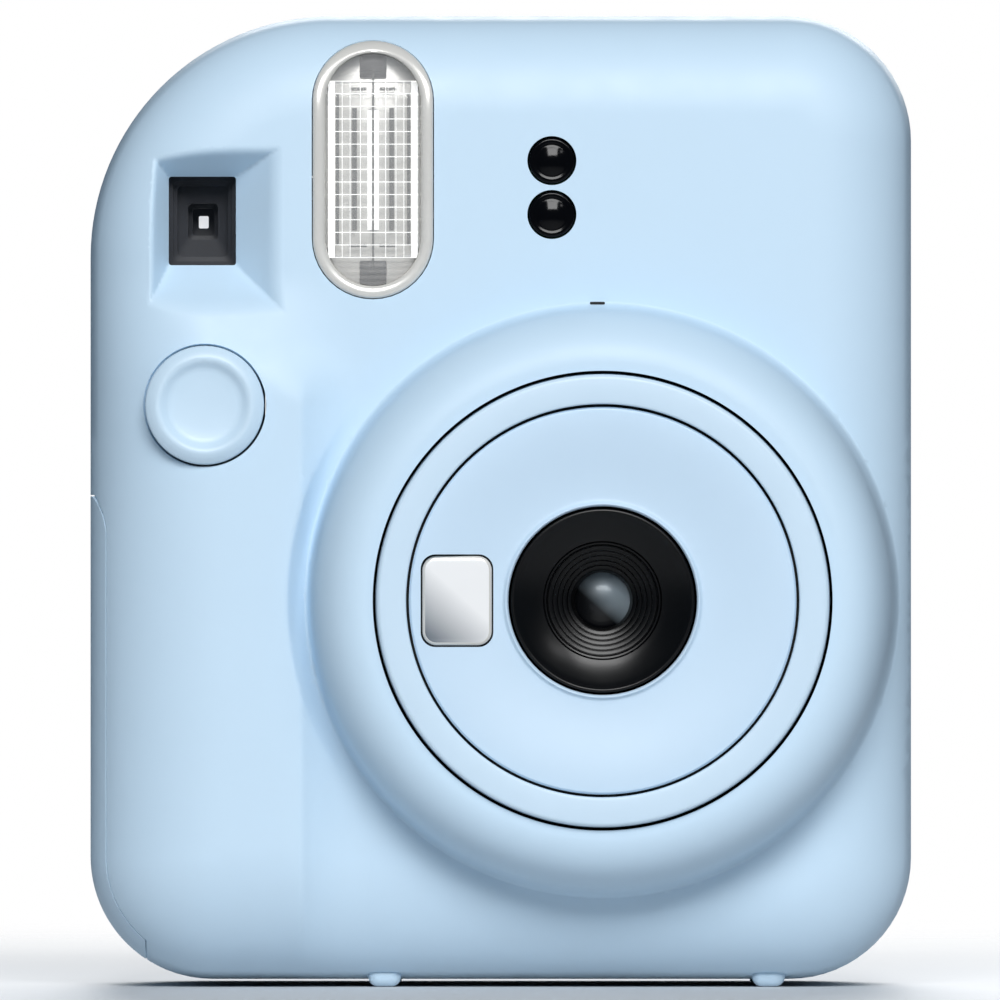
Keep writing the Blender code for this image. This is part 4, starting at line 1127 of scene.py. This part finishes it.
def viewfinder():
    """The smoked pane, and stepped dark frames behind it that lead to the bright eyepiece."""
    rings = []
    for inset, forward in ((-0.5, 11.3), (-0.5, 12.1), (-0.35, 12.25), (0.5, 12.28), (2.0, 12.3)):
        half = (PANE_HALF[0] - inset, PANE_HALF[1] - inset)
        rings.append([(x, -forward, z) for x, z in rounded_box(PANE, half, 0.3, 4, 8)])
    pane = skinned("viewfinder_pane", rings, ("tinted",))
    add(pane, "camera", "dark_window", "viewfinder_window")
    steps = ((5.0, 6.3, 11.1), (3.75, 5.1, 11.0), (3.75, 5.1, 9.6), (3.2, 4.5, 9.5))
    steps += ((3.2, 4.5, 7.6), (1.9, 2.3, 7.4), (1.9, 2.3, 4.4), (1.4, 1.75, 4.3))
    steps += ((1.4, 1.75, 1.0), (0.62, 0.78, 0.9))
    rings = []
    for half_x, half_z, forward in steps:
        outline = rounded_box(PANE, (half_x, half_z), min(0.7, half_x * 0.3), 4, 8)
        rings.append([(x, -forward, z) for x, z in outline])
    made = skinned("viewfinder_frames", rings, ("finder", "glow"), lambda row: int(row == 9))
    add(made, "camera", "black_plastic")


def glow_material():
    """Daylight that comes through the finder from behind."""
    made, nodes, links, shader = new_material("finder_light")
    drift = noise(nodes, links, 900)
    tone = blend_colours(nodes, links, drift, srgb(226, 232, 240), srgb(250, 250, 250))
    links.new(tone, shader.inputs["Base Color"])
    links.new(tone, shader.inputs["Emission Color"])
    put(shader, Emission_Strength=1.5, Roughness=0.5)
    return made


# What stays as the CAD has it


def dress_cad_nodes():
    """Materials, merged points and softened edges for every node that keeps its CAD mesh."""
    slots = {item["node"]: item["material_slot"] for item in frame["record"]["subparts"]}
    for name, obj in frame["nodes"].items():
        obj.data.materials.clear()
        obj.data.materials.append(MATERIALS[CAD_MATERIALS[slots[name]]])
        obj.data.polygons.foreach_set("use_smooth", [True] * len(obj.data.polygons))
        weld = obj.modifiers.new("weld", "WELD")
        weld.merge_threshold = 0.001 * MM
        split = obj.modifiers.new("edges", "EDGE_SPLIT")
        split.split_angle = math.radians(28)


# Studio


def floor_material():
    """Pale paper that fades out with the distance from the object."""
    made, nodes, links, shader = new_material("floor_paper")
    drift = noise(nodes, links, 40)
    tone = blend_colours(nodes, links, drift, srgb(206, 208, 211), srgb(210, 212, 214))
    links.new(tone, shader.inputs["Base Color"])
    put(shader, Roughness=0.6)
    place = nodes.new("ShaderNodeTexCoord")
    reach = nodes.new("ShaderNodeVectorMath")
    reach.operation = "LENGTH"
    links.new(place.outputs["Object"], reach.inputs[0])
    fade = spread(nodes, links, reach.outputs["Value"], 1, 0, FLOOR_SOLID, FLOOR_GONE)
    fade.node.interpolation_type = "SMOOTHSTEP"
    links.new(fade, shader.inputs["Alpha"])
    return made


def floor():
    steps = 96
    points = [(0.0, 0.0, 0.0)]
    points += [(x, z, 0.0) for x, z in circle((0, 0), FLOOR_GONE / MM * 1.02, steps)]
    faces = [(0, number + 1, (number + 1) % steps + 1) for number in range(steps)]
    new_object("studio_floor", points, faces, ("paper",))


def air():
    """A white background to look at, and a soft bluish light all round."""
    world = bpy.data.worlds.new("studio_air")
    bpy.context.scene.world = world
    world.use_nodes = True
    nodes, links = world.node_tree.nodes, world.node_tree.links
    soft = nodes["Background"]
    put(soft, Color=(0.58, 0.76, 0.95, 1), Strength=0.14)
    white = nodes.new("ShaderNodeBackground")
    put(white, Color=(1, 1, 1, 1))
    seen = nodes.new("ShaderNodeLightPath")
    choice = nodes.new("ShaderNodeMixShader")
    links.new(seen.outputs["Is Camera Ray"], choice.inputs[0])
    links.new(soft.outputs["Background"], choice.inputs[1])
    links.new(white.outputs["Background"], choice.inputs[2])
    links.new(choice.outputs["Shader"], nodes["World Output"].inputs["Surface"])


def studio():
    """A pale floor, broad soft lights, and the camera straight in front."""
    floor()
    air()
    area("key_light", (0.04, -0.87, 0.58), (0, 0, 0.065), (0.5, 0.4), 8.9)
    area("accent_light", (0.9, -1.3, 1.0), (0, 0, 0.06), (0.35, 0.35), 2)
    area("back_light", (0.1, 1.15, 0.42), (0, 0, 0.06), (0.6, 0.4), 7)
    bpy.context.scene.view_settings.view_transform = "Standard"

    lens = bpy.data.cameras.new("studio_camera")
    lens.sensor_width = 36
    lens.lens = CAMERA_LENS
    lens.clip_end = 20
    camera = placed("studio_camera", lens)
    distance = SEEN_WIDTH * lens.lens / lens.sensor_width
    camera.location = (-0.0001, -distance - 0.02, CAMERA_HEIGHT)
    camera.rotation_euler = (math.pi / 2, 0, 0)
    bpy.context.scene.camera = camera


def area(name, place, target, size, power):
    light = bpy.data.lights.new(name, "AREA")
    light.shape = "RECTANGLE"
    light.size, light.size_y = size
    light.energy = power
    obj = placed(name, light)
    obj.location = place
    obj.rotation_euler = (Vector(target) - Vector(place)).to_track_quat("-Z", "Y").to_euler()


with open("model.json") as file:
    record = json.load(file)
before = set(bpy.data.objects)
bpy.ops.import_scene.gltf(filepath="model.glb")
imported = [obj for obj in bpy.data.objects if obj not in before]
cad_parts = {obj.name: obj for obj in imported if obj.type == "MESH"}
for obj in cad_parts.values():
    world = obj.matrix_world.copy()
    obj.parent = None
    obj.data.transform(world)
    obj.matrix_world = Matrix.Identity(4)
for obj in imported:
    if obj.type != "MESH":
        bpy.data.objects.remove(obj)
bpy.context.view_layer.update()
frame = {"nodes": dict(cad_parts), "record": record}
MATERIALS["glow"] = glow_material()
MATERIALS["paper"] = floor_material()
dress_cad_nodes()
front_cover()
front_feet()
battery_cover()
lens_ring()
lens_panel()
lens_tube()
mirror_plate()
lens_hood()
front_glass()
index_mark()
shutter_button()
flash_rim()
flash_window()
flash_reflector()
flash_bed()
flash_grid()
flash_tube()
sensors()
viewfinder()
studio()
